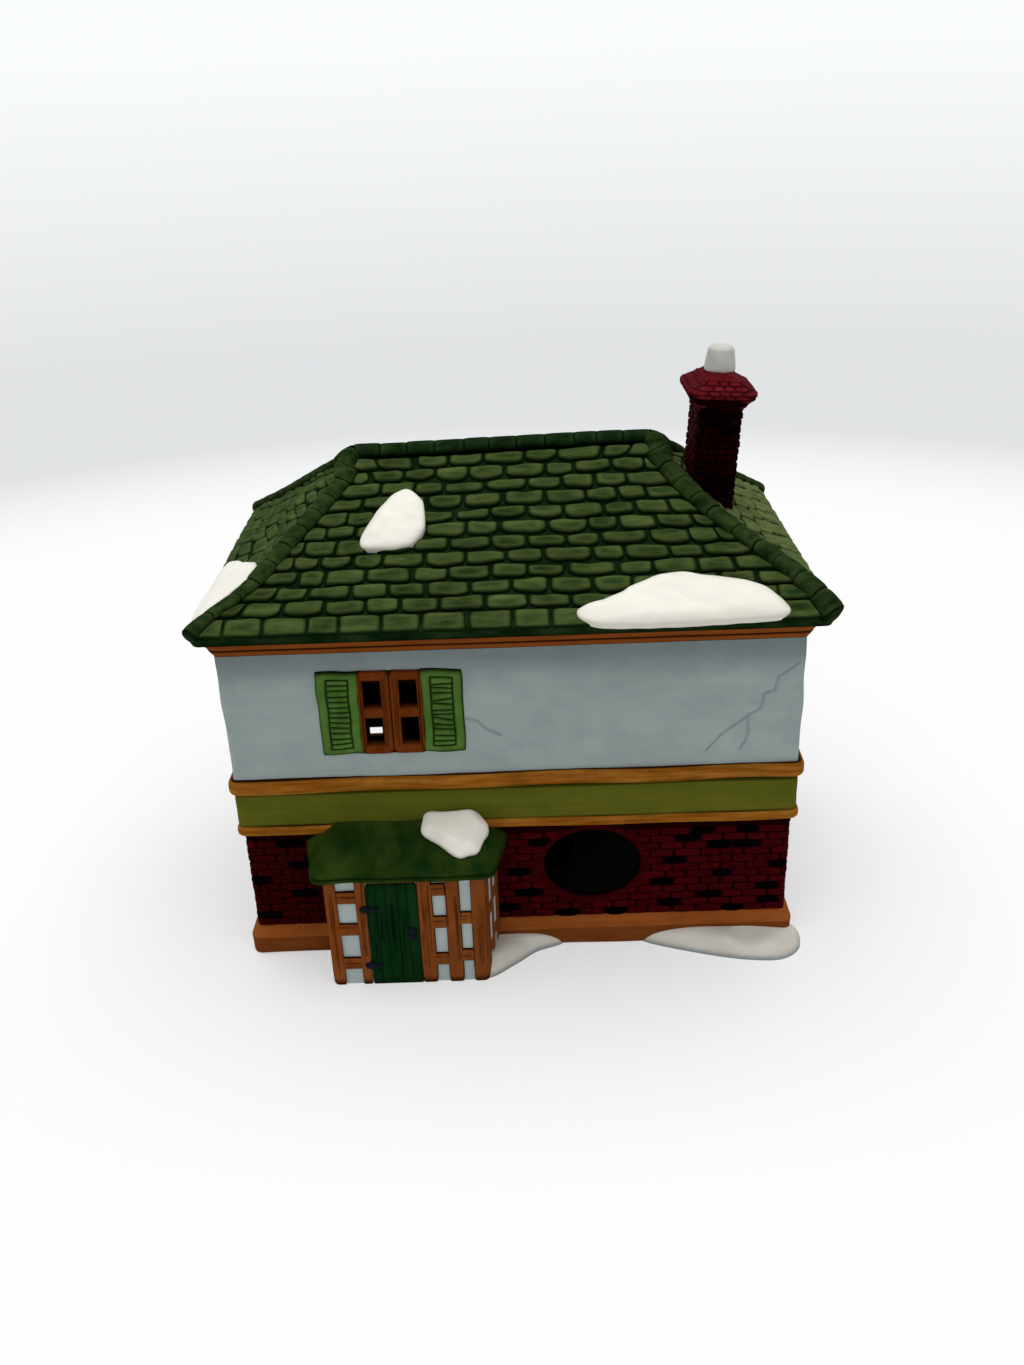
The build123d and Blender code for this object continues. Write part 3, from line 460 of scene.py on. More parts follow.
def slope(side):
    """One roof slope's surface, from the middle of its eave, with its half eave, half top and length."""
    turn = {"front": (0, -1), "rear": (0, 1), "left": (-1, 0), "right": (1, 0)}[side]
    main = side in ("front", "rear")
    run = EAVE_Y if main else EAVE_X - RIDGE_X
    length = math.hypot(run, RIDGE_Z - EAVE_Z)
    foot = np.array([turn[0] * EAVE_X, HOUSE_Y + turn[1] * EAVE_Y, EAVE_Z])
    up = np.array([-turn[0] * run, -turn[1] * run, RIDGE_Z - EAVE_Z]) / length
    plane = flat(foot, (-turn[1], turn[0], 0.0), up)
    half_eave, half_top = (EAVE_X, RIDGE_X) if main else (EAVE_Y, 0.0)

    def surface(a, b, out):
        wander = 0.4 * ripple(a, 4 * b, 30, len(side)) + 0.2 * ripple(a, b, 7, 4)
        row = b + wander * smooth(b, 2.0, 8.0)
        return sag(plane(a + 0.25 * ripple(a, b, 8, 3), row, out + 0.12 * ripple(a, b, 5, 2)))

    return surface, half_eave, half_top, length


COURSES = 12
TILE_PITCH, TILE_SCATTER = 11.8, 1.1
TILE_GAP, EAVE_GAP = 0.14, 0.15
FOOT_GAP, HEAD_GAP = 0.12, 0.14
SHORTEST_COURSE, SHORTEST_TILE = 1.5, 3.6
HIP_CLEAR, TOP_CLEAR = 2.2, 2.6
EAVE_OVERHANG = 1.1
DECK_OUT = 0.3
RIGHT_SLOPE_LIGHT = 0.8
EAVE_TILE = dict(thick=1.35, power=9.0, foot_power=14.0, crown=7.0, cells=(14, 10), sink=0.2, tilt=0.05,
                 wash_edge=0.82)
LOW_FEET, ROUND_FEET = (3.0, 5.0), (2.4, 3.8)
ROOF_TILE = dict(power=8.0, crown=5.4, cells=(16, 12), sink=0.1, tilt=0.35, wash_edge=0.78)
tile_steps = np.arange(-9, 10)
rng = np.random.default_rng(12)
deck = Piece()
for side in SIDES:
    surface, half_eave, half_top, length = slope(side)
    lean = (half_eave - half_top) / length
    rows = np.linspace(0.2, length, 40)
    across = np.linspace(-1, 1, 61)[:, None] * (half_eave - lean * rows)
    deck.grid(surface(across, np.broadcast_to(rows, across.shape), DECK_OUT), 0.4, 0.4)
    tiles = Piece()
    course = (length - TOP_CLEAR) / COURSES
    # Painted light: the right slope's tiles are also lighter in tone.
    painted_light = RIGHT_SLOPE_LIGHT if side == "right" else 0.0
    for i in range(COURSES):
        low, high = i * course + FOOT_GAP, (i + 1) * course - HEAD_GAP
        edge_low, edge_high = (half_eave - lean * b - HIP_CLEAR for b in (low, high))
        middle = (edge_low + edge_high) / 2
        if middle < SHORTEST_COURSE:
            continue
        marks = (tile_steps + 0.5 * (i % 2)) * TILE_PITCH + rng.normal(0, TILE_SCATTER, len(tile_steps))
        cuts = [-middle, *marks[np.abs(marks) < middle - SHORTEST_TILE], middle]
        gap = TILE_GAP if i else EAVE_GAP
        for k in range(len(cuts) - 1):
            left, right = (-edge_low, -edge_high), (edge_low, edge_high)
            if k > 0:
                left = cuts[k] + gap + rng.normal(0, 0.2)
            if k < len(cuts) - 2:
                right = cuts[k + 1] - gap + rng.normal(0, 0.2)
            if i == 0:
                pillow(tiles, surface, left, right, low - EAVE_OVERHANG, high,
                       tone=rng.uniform(0.3, 0.7) + painted_light, **EAVE_TILE)
                continue
            # Each tile is painted lighter towards its head: a painted highlight where the light falls on its
            # top.
            shift = rng.normal(0, 0.16, 2)
            tone = rng.uniform(0.1, 0.75) + painted_light
            pillow(tiles, surface, left, right, low + shift[0], high + shift[1],
                   thick=rng.uniform(1.4, 1.8), foot_power=rng.uniform(*(ROUND_FEET if i > 3 else LOW_FEET)),
                   tone=lambda a, b: tone + 0.5 * (b - low) / course - 0.2, **ROOF_TILE)
    tiles.make(f"tiles_{side}", LIT_TILE if side == "right" else TILE, "roof_tiles", f"roof_tiles_{side}")


def cap(piece, start, end, pitch, radii, pinch, tones, seed):
    """Adds a row of rolled caps from start to end, each a barrel with a groove at its joint."""
    dice = np.random.default_rng(seed)
    length = np.linalg.norm(end - start)
    axis = (end - start) / length
    across = np.cross(axis, (0, 0, 1.0))
    across /= np.linalg.norm(across)
    upward = np.cross(across, axis)
    count = round(length / pitch)
    marks = np.linspace(0, length, count + 1)
    marks[1:-1] += dice.normal(0, 0.5, count - 1)
    s = np.sin(np.linspace(-1, 1, 15) * math.pi / 2)
    s, turn = np.meshgrid(s, np.radians(np.linspace(-112, 112, 21)), indexing="ij")
    # Each cap is dark at its joints, and darker down its flanks where it sits on the tiles, as painted
    # shade.
    wash_and_shade = np.maximum(0.85 * smooth(np.abs(s), 0.93, 1.0), smooth(np.abs(turn), 1.2, 1.8))
    rim = smooth(np.abs(s), 0.5, 0.8) * (1 - smooth(np.abs(s), 0.85, 0.97))
    for low, high in zip(marks[:-1], marks[1:]):
        d = (low + high) / 2 + s * (high - low) / 2
        radius = (radii[0] + (radii[1] - radii[0]) * d / length) * dice.uniform(0.97, 1.03)
        radius = radius * (1 - pinch * np.abs(s) ** 6) * (1 - 0.06 * np.cos(2 * turn))
        shift = dice.normal(0, 0.1, 2)
        points = start + d[..., None] * axis + (shift[0] + radius * np.sin(turn))[..., None] * across
        points = points + (shift[1] + radius * np.cos(turn))[..., None] * upward
        piece.grid(sag(points), wash_and_shade, dice.uniform(*tones), rim)
    r, turn = np.meshgrid(np.linspace(0, 1, 7), np.linspace(0, 2 * math.pi, 33), indexing="ij")
    nose = 0.9 * np.sqrt(1 - r ** 4)
    ray = np.cos(turn)[..., None] * across + np.sin(turn)[..., None] * upward
    face = end + nose[..., None] * axis + 0.93 * radii[1] * r[..., None] * ray
    piece.grid(sag(face), 0.3 + 0.5 * smooth(r, 0.75, 1.0), 0.4)


CAP_RISE = 0.3
ridge_ends = {x: np.array([x * RIDGE_X, HOUSE_Y, RIDGE_Z + CAP_RISE]) for x in (-1, 1)}
ridge = Piece()
cap(ridge, ridge_ends[-1], ridge_ends[1], pitch=8.4, radii=(3.0, 3.0), pinch=0.07, tones=(0.0, 0.4), seed=40)
ridge.make("ridge_cap", CAP, "roof_caps")
for row, y in (("front", -1), ("rear", 1)):
    for hand, x in HANDS.items():
        hip = Piece()
        corner = np.array([x * EAVE_X, HOUSE_Y + y * EAVE_Y, EAVE_Z + CAP_RISE])
        radii = (3.0, 3.7) if (x, y) == (1, -1) else (2.8, 2.8)
        cap(hip, ridge_ends[x], corner, pitch=7.5, radii=radii, pinch=0.12, tones=(0.25, 0.75),
            seed=50 + 10 * y + x)
        hip.make(f"hip_cap_{row}_{hand}", HIP, "roof_caps")


# Walls: rings of moulding round the house, swept along its outline with an uneven hand

# Where the rings close behind the render's face
BEHIND = -1.0


def ring(profile, half_x, half_y, uneven, size, seed, corner=1.4, step=1.6):
    """A moulding's points and their profile rows. profile is (out, z) pairs from its foot to its top."""
    loop = Loop(half_x, half_y, corner)
    out, z = (np.array(v, float) for v in zip(*profile))
    u, row = np.meshgrid(loop.stops(step), np.arange(len(out)), indexing="ij")
    free = (out[row] > -0.5) * loop.seamless(u)
    wave = free * uneven * ripple(u, z[row], size, seed)
    lift = free * (z[row] != TABLE) * 0.6 * uneven * ripple(u, 0 * u, 1.6 * size, seed + 1)
    return around(loop, (0.0, HOUSE_Y))(u, z[row] + lift, out[row] + wave), row


def rounded(radius):
    """A profile with a rounded foot and head of one radius, closed behind."""

    def profile(low, high, out):
        inner = out - radius
        points = [(BEHIND, low), (inner, low)]
        for t in np.linspace(0.3, 1.57, 6):
            points.append((inner + radius * math.sin(t), low + radius - radius * math.cos(t)))
        for t in np.linspace(0, 1.3, 6):
            points.append((inner + radius * math.cos(t), high - radius + radius * math.sin(t)))
        return points + [(inner, high), (BEHIND, high)]

    return profile


def moulding(node, material, profile, uneven, size, seed, outline_and_shade_rows, shaded_rows=(), slot=None):
    """Makes one ring of the wall, with rows of its profile painted dark, as outlines and as painted shade
    under and between the rings, and rows dimmed as painted shade.

    profile gives (out, z) pairs from the foot, the top and how far the ring stands out from the render.
    """
    low, high = span(node)
    pairs = profile(low[2], high[2], high[0] - HALF_X)
    points, row = ring(pairs, HALF_X, HALF_Y, uneven, size, seed)
    piece = Piece()
    piece.grid(points, np.isin(row, outline_and_shade_rows) * 0.95 + np.isin(row, shaded_rows) * 0.4, 0.5)
    piece.make(node, material, slot or node)


def plinth_profile(low, high, out):
    """The plinth: an upright face with a lip under its splayed top."""
    face = [(out - 0.8, TABLE), (out - 0.2, 0.3), (out, 1.0), (out, high - 4.6)]
    lip = [(out + 0.1, high - 3.4), (out + 0.1, high - 3.0), (out - 0.3, high - 2.6)]
    splay = [(out - 1.4, high - 1.3), (-0.7, high), (-0.95, high + 0.2)]
    return [(BEHIND, TABLE), *face, *lip, *splay, (BEHIND, high + 0.2)]


def frieze_profile(low, high, out):
    """The frieze: a nearly flat band between the belts, with a thin line along its head."""
    foot = [(out, low - 0.2), (out, low + 0.5), (out + 0.1, low + 2), (out, (low + high) / 2)]
    head = [(out + 0.1, high - 2), (out, high - 1.1), (out, high - 0.6), (out, high + 0.2)]
    return [(BEHIND, low - 0.2), *foot, *head, (BEHIND, high + 0.2)]


def cornice_profile(low, high, out):
    """The cornice: two coves with a bead between them."""
    cove = [(0.4, low), (0.5, low + 0.3), (1.0, low + 0.8), (1.6, low + 1.7)]
    bead = [(1.9, low + 2.2), (1.8, low + 2.5), (2.2, low + 2.8)]
    crown = [(3.0, low + 3.8), (out - 0.3, low + 4.6), (out, low + 5.0), (out, high)]
    return [(BEHIND, low), *cove, *bead, *crown, (BEHIND, high)]


# Rows painted dark on the rings: outlines, and painted shade under the belts and where the rings meet the
# wall and each other. The plinth's upright face is dimmed as painted shade.
BELT_OUTLINES_AND_SHADE = (0, 1, 2, 3, 13, 14, 15)
moulding("plinth", PLINTH, plinth_profile, 0.18, 26, 60, (1, 10, 11), (2, 3, 4, 5))
moulding("lower_belt", BELT, rounded(1.2), 0.28, 34, 62, BELT_OUTLINES_AND_SHADE, slot="belt")
moulding("frieze_band", FRIEZE, frieze_profile, 0.12, 30, 64, (0, 1, 7, 8, 9), slot="frieze")
moulding("upper_belt", BELT, rounded(1.6), 0.36, 38, 66, BELT_OUTLINES_AND_SHADE, slot="belt")
moulding("cornice", CORNICE, cornice_profile, 0.1, 24, 68, (0, 1, 5, 6, 10, 11))

eave_profile = [(-6.0, -EAVE_EDGE), (-0.6, -EAVE_EDGE), (0.1, -3.1), (0.5, -2.2), (0.7, -1.0), (0.6, 0.2),
                (-0.2, 0.9), (-2.0, 1.4)]
points, row = ring(eave_profile, EAVE_X, EAVE_Y, 0.14, 14, 70, 1.6)
points[..., 2] += EAVE_Z
# The eave roll's underside is painted darker: painted shade under the eave.
deck.grid(sag(points), 0.2 + 0.5 * (row < 3), 0.4)
deck.make("roof_shell", CAP, "roof_caps", "roof_deck")
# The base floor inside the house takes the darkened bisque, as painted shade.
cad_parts["base_floor"].data.materials.clear()
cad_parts["base_floor"].data.materials.append(SHADED_BISQUE)


# Upper storey: rippled render with cracks, open where the windows are

wall_loop = Loop(HALF_X, HALF_Y, 1.2)
wall = around(wall_loop, (0.0, HOUSE_Y))
SILL, HEAD = LEAF_LOW[2], LEAF_HIGH[2]
REVEAL = 0.2
WINDOWS = {
    "front_upper": [wall_loop.middle["front"] + LEAF_HIGH[0]],
    "left_upper": [wall_loop.middle["left"]],
    "right_upper": [wall_loop.middle["right"]],
    "rear_upper": [wall_loop.middle["rear"] + REAR_WINDOW, wall_loop.middle["rear"] - REAR_WINDOW],
}
CRACKS = [
    [(84.2, 98.2), (78.2, 93.8), (77.4, 89.2), (74.2, 88.4), (73.6, 83.6), (70.2, 81.6), (61.6, 74.6),
     (57.8, 69.8)],
    [(69.6, 80.8), (70.2, 76.4), (69.4, 72.4), (67.8, 69.8)],
    [(-14.0, 83.4), (-10.6, 82.2), (-8.4, 79.6), (-4.0, 77.4)],
]
crack = strokes([pair for line in CRACKS for pair in zip(line[:-1], line[1:])], 0.3, 0.5, 0.5)


def openings(loop, places):
    """The left and right edges of windows at the given places, along a loop."""
    half = LEAF_WIDTH - REVEAL
    return [(loop.wrapped(u - half), loop.wrapped(u + half)) for u in places]


def wall_grid(loop, step, low, high, rows, gaps, sill, head):
    """Distances and heights of a wall's grid that meets its window openings, and which faces stay."""
    u = loop.stops(step, [v for pair in gaps for v in pair])
    z = np.linspace(low, high, rows)
    for mark in (sill + REVEAL, head - REVEAL):
        z[np.argmin(np.abs(z - mark))] = mark
    mid_u, mid_z = np.meshgrid((u[:-1] + u[1:]) / 2, (z[:-1] + z[1:]) / 2, indexing="ij")
    keep = np.ones(mid_u.shape, bool)
    for left, right in gaps:
        keep &= ~((mid_u > left) & (mid_u < right) & (mid_z > sill) & (mid_z < head))
    return *np.meshgrid(u, z, indexing="ij"), mid_u, mid_z, keep


# A soft bulge along the front wall, and the shade under the eaves
BULGE_Z, BULGE_TILT, BULGE_SPREAD, BULGE_OUT = 92.5, 0.02, 3.0, 0.5
EAVE_SHADE = 0.6
RENDER_OUT = 0.3
render_wall = Piece()
gaps = openings(wall_loop, [u for places in WINDOWS.values() for u in places])
uu, zz, _, _, keep = wall_grid(wall_loop, 0.5, WALL_LOW[2], WALL_HIGH[2], 84, gaps, SILL, HEAD)
depth, dark = crack(uu, zz)
out = 0.26 * ripple(uu, 2.2 * zz, 46, 80) + 0.07 * ripple(uu, zz, 9, 81)
out = RENDER_OUT + out * wall_loop.seamless(uu) - depth
bulge = BULGE_OUT * hump(zz, BULGE_Z + BULGE_TILT * uu, BULGE_SPREAD)
out += bulge * smooth(uu, -8, 4) * (1 - smooth(uu, 60, 80))
dark = np.maximum(dark, EAVE_SHADE * smooth(zz, WALL_HIGH[2] - 13, WALL_HIGH[2] - 1))
render_wall.grid(wall(uu, zz, out), dark, 0.5, 0.0, keep)
render_wall.make("rendered_storey", RENDER, "render", "render")


# Casements and shutters

RAIL = dict(thick=1.0, power=12, crown=8, cells=(10, 6), sink=2.0)
STILE = dict(thick=1.12, power=20, crown=7, cells=(14, 40), sink=2.0, wash_edge=0.84)
BOARD = dict(thick=1.5, power=40, crown=10, cells=(84, 170), sink=0.3, wash_edge=0.9)
LOUVRE_INSET, LOUVRE_FOOT, LOUVRE_SLATS = 3.0, 2.6, 13


def hand_cut(a, b, out):
    """The wall's surface, shifted a little so that straight edges wander as hand-cut ones do."""
    return wall(a + 0.2 * ripple(a, b, 10, 85), b + 0.25 * ripple(a, b, 13, 86), out)


def leaf(piece, surface, u, hand, low, high, seed, bars=None):
    """Adds one casement leaf: stiles and rails round its open panes, brushed with dark strokes."""
    dice = np.random.default_rng(seed)
    edge0, edge1 = sorted((u, u + hand * LEAF_WIDTH))
    pane_mid = u + hand * (LEAF_WIDTH / 2 + PANE_SHIFT)
    p0, p1 = pane_mid - PANE_WIDTH / 2, pane_mid + PANE_WIDTH / 2
    half_panes = (PANE_PITCH + PANE_HEIGHT) / 2
    bar = PANE_PITCH - PANE_HEIGHT
    middle = (low + high) / 2
    rails = [(low, middle - half_panes), (middle + half_panes, high)]
    for foot, head in rails + (bars or [(middle - bar / 2, middle + bar / 2)]):
        pillow(piece, surface, edge0 + 0.3, edge1 - 0.3, foot, head, tone=dice.uniform(0.4, 0.6), **RAIL)
    for left, right in ((edge0, p0), (p1, edge1)):
        lines = []
        for x in dice.uniform(left + 0.4, right - 0.4, 2):
            lines.append(((x, low + 1), (x + dice.normal(0, 0.2), high - 1)))
        pillow(piece, surface, left, right, low, high, tone=dice.uniform(0.4, 0.6),
               score=strokes(lines, 0.16, 0.12, 0.8), **STILE)


def shutter(piece, surface, left, right, low, high, wild, seed):
    """Adds one shutter: a board scored with a louvre panel of rough slats."""
    dice = np.random.default_rng(seed)
    l, r, b, t = left + LOUVRE_INSET, right - LOUVRE_INSET, low + LOUVRE_FOOT, high - LOUVRE_FOOT
    lines = [((l, b), (l, t)), ((r, b), (r, t)), ((l, b), (r, b)), ((l, t), (r, t))]
    for k in range(1, LOUVRE_SLATS):
        level = b + (t - b) * k / LOUVRE_SLATS
        lines.append(((l + 0.3, level + dice.normal(0, wild)), (r - 0.3, level + dice.normal(0, wild))))
    pillow(piece, surface, left, right, low, high, tone=dice.uniform(0.35, 0.5),
           score=strokes(lines, 0.3, 0.5), **BOARD)


for seed, (name, places) in enumerate(WINDOWS.items()):
    for word, hand in HANDS.items():
        leaves, boards = Piece(), Piece()
        for k, u in enumerate(places):
            leaf(leaves, wall, u, hand, SILL, HEAD, 90 + 7 * seed + k)
            edges = sorted(u + hand * v for v in (LEAF_WIDTH - 0.4, LEAF_WIDTH + SHUTTER_WIDTH))
            wild = 0.12 if hand < 0 else 0.35
            shutter(boards, hand_cut, *edges, SILL, HEAD, wild, 120 + 11 * seed + 3 * k + hand)
        leaves.make(f"{name}_{word}_leaf", CASEMENT, "casement")
        boards.make(f"{name}_{word}_shutter", SHUTTER, "shutter")


# Brick storey: bricks laid round the house, some burnt black, smoothed round the lamp hole

def laid(loop, low, high, count, length, scatter, dice, start=0.0):
    """Bricks laid round a loop in courses: the foot, head, left and right of each."""
    pitch = (high - low) / count
    number = round(loop.length / length)
    for i in range(count):
        marks = start + (np.arange(number + 1) + 0.5 * (i % 2)) * loop.length / number
        marks[1:-1] += dice.normal(0, scatter, number - 1)
        for left, right in zip(marks[:-1], marks[1:]):
            yield low + i * pitch, low + (i + 1) * pitch, left, right


brick_loop = Loop(BRICK_HIGH[0], BRICK_HIGH[1] - HOUSE_Y, 1.0)
brick_wall = around(brick_loop, (0.0, HOUSE_Y))
LOWER_WINDOWS = [brick_loop.middle["rear"] + REAR_WINDOW, brick_loop.middle["rear"] - REAR_WINDOW]
BRICK_COURSES, BRICK_LENGTH, BRICK_SCATTER = 13, 7.6, 0.6
BRICK_GAP = 0.08
HOLE_RIM = 1.14
WINDOW_SIDE, WINDOW_ENDS = 2.5, 1
# Painted shade: on the top course, under the lower belt, and on the front bricks left of the porch, in its
# shadow.
UNDER_BELT_SHADE, PORCH_SHADE = 0.75, 0.7
BURNT_SHARE = 0.07
WALL_BRICK = dict(crown=5.0, cells=(10, 7), sink=0.05, wash_edge=0.9)

# How round a brick's corners are, and the joint above and below it, for sound and for burnt bricks
SOUND_FORM, BURNT_FORM = (6.0, 0.05), (2.6, -0.35)

# Glazing bars of the lower rear leaves: their feet and tops
LOWER_BARS = {"left": [(20.4, 32.6)], "right": [(20.4, 25.0), (28.8, 32.6)]}

# Middles of the burnt bricks in the front wall, along and up
BURNT = ((4, 38), (50, 37), (60, 34), (74, 34), (74, 40), (-2, 26), (47, 29), (63, 25), (81, 27), (4, 20),
         (45, 21), (60, 17), (76, 19), (-2, 14), (45, 15), (77, 13), (67, 11), (14, 12), (28, 12), (56, 42),
         (-81, 26), (-70, 22), (-81, 15), (-73, 42), (-70, 32))

# The lamp hole's rim, from the wall into the hole: how far outside the hole, and how far off the wall
RIM_GROW = np.array([2.6, 1.8, 0.9, 0.25, 0.0, -0.05, -0.05, -0.05, 0.0])
RIM_STAND = np.array([0.1, 0.55, 0.66, 0.45, 0.0, -0.6, -1.4, -2.2, -2.6])


def hole_reach(u, z):
    """How far a point is from the lamp hole's middle, as a share of the hole's rim."""
    return np.hypot((u - LAMP_HOLE[0]) / LAMP_HOLE_HALF[0], (z - LAMP_HOLE[1]) / LAMP_HOLE_HALF[1])


def holed(a, b, out):
    """The brick wall's surface, with points over the lamp hole moved out to its rim."""
    push = np.maximum(1.02 / np.maximum(hole_reach(a, b), 1e-6), 1.0)
    u, z = LAMP_HOLE
    return brick_wall(u + (a - u) * push, z + (b - z) * push, out)


bricks = Piece()
sill, head = LOWER_LOW[2], LOWER_HIGH[2]
gaps = openings(brick_loop, LOWER_WINDOWS)
uu, zz, mid_u, mid_z, keep = wall_grid(brick_loop, 1.4, BRICK_LOW[2], BRICK_HIGH[2], 40, gaps, sill, head)
bricks.grid(holed(uu, zz, 0.05), 0.6, 0.2, 0.0, keep & (hole_reach(mid_u, mid_z) > 0.97))
for low, high, left, right in laid(brick_loop, BRICK_LOW[2], BRICK_HIGH[2], BRICK_COURSES, BRICK_LENGTH,
                                   BRICK_SCATTER, rng, -brick_loop.length / 2):
    mid_u, mid_z = (left + right) / 2, (low + high) / 2
    far = max(hole_reach(u, z) for u in (left, right) for z in (low, high))
    beside = min(abs(brick_loop.wrapped(mid_u - w)) for w in LOWER_WINDOWS) < LEAF_WIDTH + WINDOW_SIDE
    if far < HOLE_RIM or beside and sill - WINDOW_ENDS < mid_z < head + WINDOW_ENDS:
        continue
    front = abs(mid_u) < brick_loop.flat_x / 2
    if front:
        burnt = any(left <= x < right and low <= z < high for x, z in BURNT)
    else:
        burnt = rng.random() < BURNT_SHARE
    # Burnt bricks are black; the top course carries painted shade under the belt, and the front bricks left
    # of the porch a painted shadow.
    wash_and_shade = 1.0 if burnt else UNDER_BELT_SHADE if high > BRICK_HIGH[2] - 1 else 0.0
    dim = PORCH_SHADE if front and mid_u < PORCH_LOW[0] else 0.0
    power, joint = BURNT_FORM if burnt else SOUND_FORM
    pillow(bricks, holed, left + BRICK_GAP, right - BRICK_GAP, low + joint + rng.normal(0, 0.05),
           high - joint + rng.normal(0, 0.05), thick=rng.uniform(0.45, 0.65), power=power,
           tone=rng.uniform(0.25, 0.8) - dim, wash_and_shade=wash_and_shade, **WALL_BRICK)
turn, band = np.meshgrid(np.linspace(0, 2 * math.pi, 97), np.arange(len(RIM_GROW))[::-1], indexing="ij")
grow, stand = RIM_GROW[band], RIM_STAND[band]
rim_u = LAMP_HOLE[0] + (LAMP_HOLE_HALF[0] + grow) * np.cos(turn)
rim_z = LAMP_HOLE[1] + (LAMP_HOLE_HALF[1] + grow) * np.sin(turn)
# The rim darkens as it turns into the hole: painted shade inside the hole.
bricks.grid(brick_wall(rim_u, rim_z, stand), 0.1 + 0.8 * smooth(-stand, 0, 0.6), 0.5)
bricks.make("brick_storey", BRICK, "brick", "bricks")

for word, hand in HANDS.items():
    leaves = Piece()
    for k, u in enumerate(LOWER_WINDOWS):
        leaf(leaves, brick_wall, u, hand, sill, head, 140 + k, LOWER_BARS[word])
    leaves.make(f"rear_lower_{word}_leaf", CASEMENT, "casement")


# Chimney: small rough bricks round a leaning stack and its swelling head

HIP_FALL = (RIDGE_Z - EAVE_Z) / (EAVE_X - RIDGE_X)
chimney_foot = np.array(
    [EAVE_X - CHIMNEY_INSET, HOUSE_Y - CHIMNEY_FORWARD, EAVE_Z + CHIMNEY_INSET * HIP_FALL])
STACK_DROP = 12.0
# How far the head swells out: height above the stack, and millimetres
HEAD_SWELL = ((0.0, 0.0), (5.6, 3.9), (8.9, -1.0))
HEAD_TOP = STACK_HEIGHT + HEAD_SWELL[-1][0]
# How far its top rises from the rim to the pot: share of the way to the middle, and millimetres
HEAD_DOME = ((0.0, 0.0), (0.4, 1.5))
SMALL_JOINT = 0.04
SMALL_BRICK = dict(power=3.6, crown=3.2, cells=(7, 6), sink=0.05, wash_edge=0.75)
chimney_loop = Loop(*CHIMNEY_HALF, 1.2)


def leaned(points):
    """Turns points given round the chimney's upright axis to its lean and foot."""
    x, y, z = points[..., 0], points[..., 1], points[..., 2]
    c, s = math.cos(CHIMNEY_LEAN), math.sin(CHIMNEY_LEAN)
    return np.stack([x * c + z * s, y, -x * s + z * c], -1) + chimney_foot


def chimney_face(a, b, out):
    """The surface round the chimney: a along it, b up from its foot, swelling at the head."""
    return leaned(around(chimney_loop)(a, b, out + eased(b - STACK_HEIGHT, HEAD_SWELL)))


def courses(piece, low, high, count, length, thick, shaded_below, shade, joint, seed):
    """Adds courses of small bricks round the chimney.

    Its front carries painted shade, by shade or more, up to a given height under the head's swelling rim,
    and the joints are darkened by joint above that height.
    """
    dice = np.random.default_rng(seed)
    uu, zz = np.meshgrid(chimney_loop.stops(1.0), np.linspace(low, high, 4 * count + 1), indexing="ij")
    piece.grid(chimney_face(uu, zz, 0.0), np.where(zz < shaded_below, 0.95, joint), 0.3)
    for foot, head, left, right in laid(chimney_loop, low, high, count, length, 0.3, dice):
        front = abs(chimney_loop.wrapped((left + right) / 2)) < CHIMNEY_HALF[0]
        # Front bricks below that height carry painted shade under the head's rim.
        wash_and_shade = dice.uniform(shade, 1.0) if front and foot < shaded_below else 0.1
        pillow(piece, chimney_face, left + BRICK_GAP, right - BRICK_GAP, foot + SMALL_JOINT,
               head - SMALL_JOINT, thick=thick * dice.uniform(0.7, 1.3), tone=dice.uniform(0.2, 0.8),
               wash_and_shade=wash_and_shade, **SMALL_BRICK)


stack, head = Piece(), Piece()
courses(stack, -STACK_DROP, STACK_HEIGHT, count=17, length=5.6, thick=0.5, shaded_below=STACK_HEIGHT,
        shade=0.7, joint=0.9, seed=150)
stack.make("chimney_stack", BRICK, "brick")
courses(head, STACK_HEIGHT, HEAD_TOP, count=8, length=3.2, thick=0.4, shaded_below=STACK_HEIGHT + 4.2,
        shade=0.93, joint=0.5, seed=160)
rim_points = chimney_face(np.linspace(0, chimney_loop.length, 60), HEAD_TOP, 0.0)
share = np.linspace(0, 1, 16)[:, None]
top = rim_points[:, None] * (1 - share) + leaned(np.array([0, 0, HEAD_TOP])) * share
head.grid(top + (0, 0, 1) * eased(share, HEAD_DOME), 0.2, 0.5)
head.make("chimney_head", HEAD_BRICK, "brick")
pot = soften("chimney_pot", voxel=0.3, rounds=10, uneven=0.12, size=9, seed=5)
put("chimney_pot", pot, POT)


# Porch: infill panels between rough timbers, a boarded door and a smooth lean-to roof

PORCH_MID = (PORCH_LOW[0] + PORCH_HIGH[0]) / 2
PORCH_FRONT, PORCH_BACK, PORCH_TOP = PORCH_LOW[1], PORCH_HIGH[1], PORCH_HIGH[2]
PORCH_DEPTH = PORCH_BACK - PORCH_FRONT
PORCH_HALF = (PORCH_HIGH[0] - PORCH_LOW[0]) / 2 - PORCH_LEAN * PORCH_DEPTH
INFILL_OUT, CHEEK_OUT = -0.6, 0.1
porch_loop = Loop(PORCH_HALF, PORCH_DEPTH / 2, 1.4)
porch_box = around(porch_loop, (PORCH_MID, PORCH_FRONT + PORCH_DEPTH / 2))
CHEEK = porch_loop.middle["right"]
DOOR_LEFT, DOOR_RIGHT, DOOR_TOP = DOOR_LOW[0] - PORCH_MID, DOOR_HIGH[0] - PORCH_MID, DOOR_HIGH[2]
BEAM = dict(thick=0.3, power=12, crown=7, sink=0.8, wash_edge=0.86)
POST_TOP = PORCH_TOP + 0.6

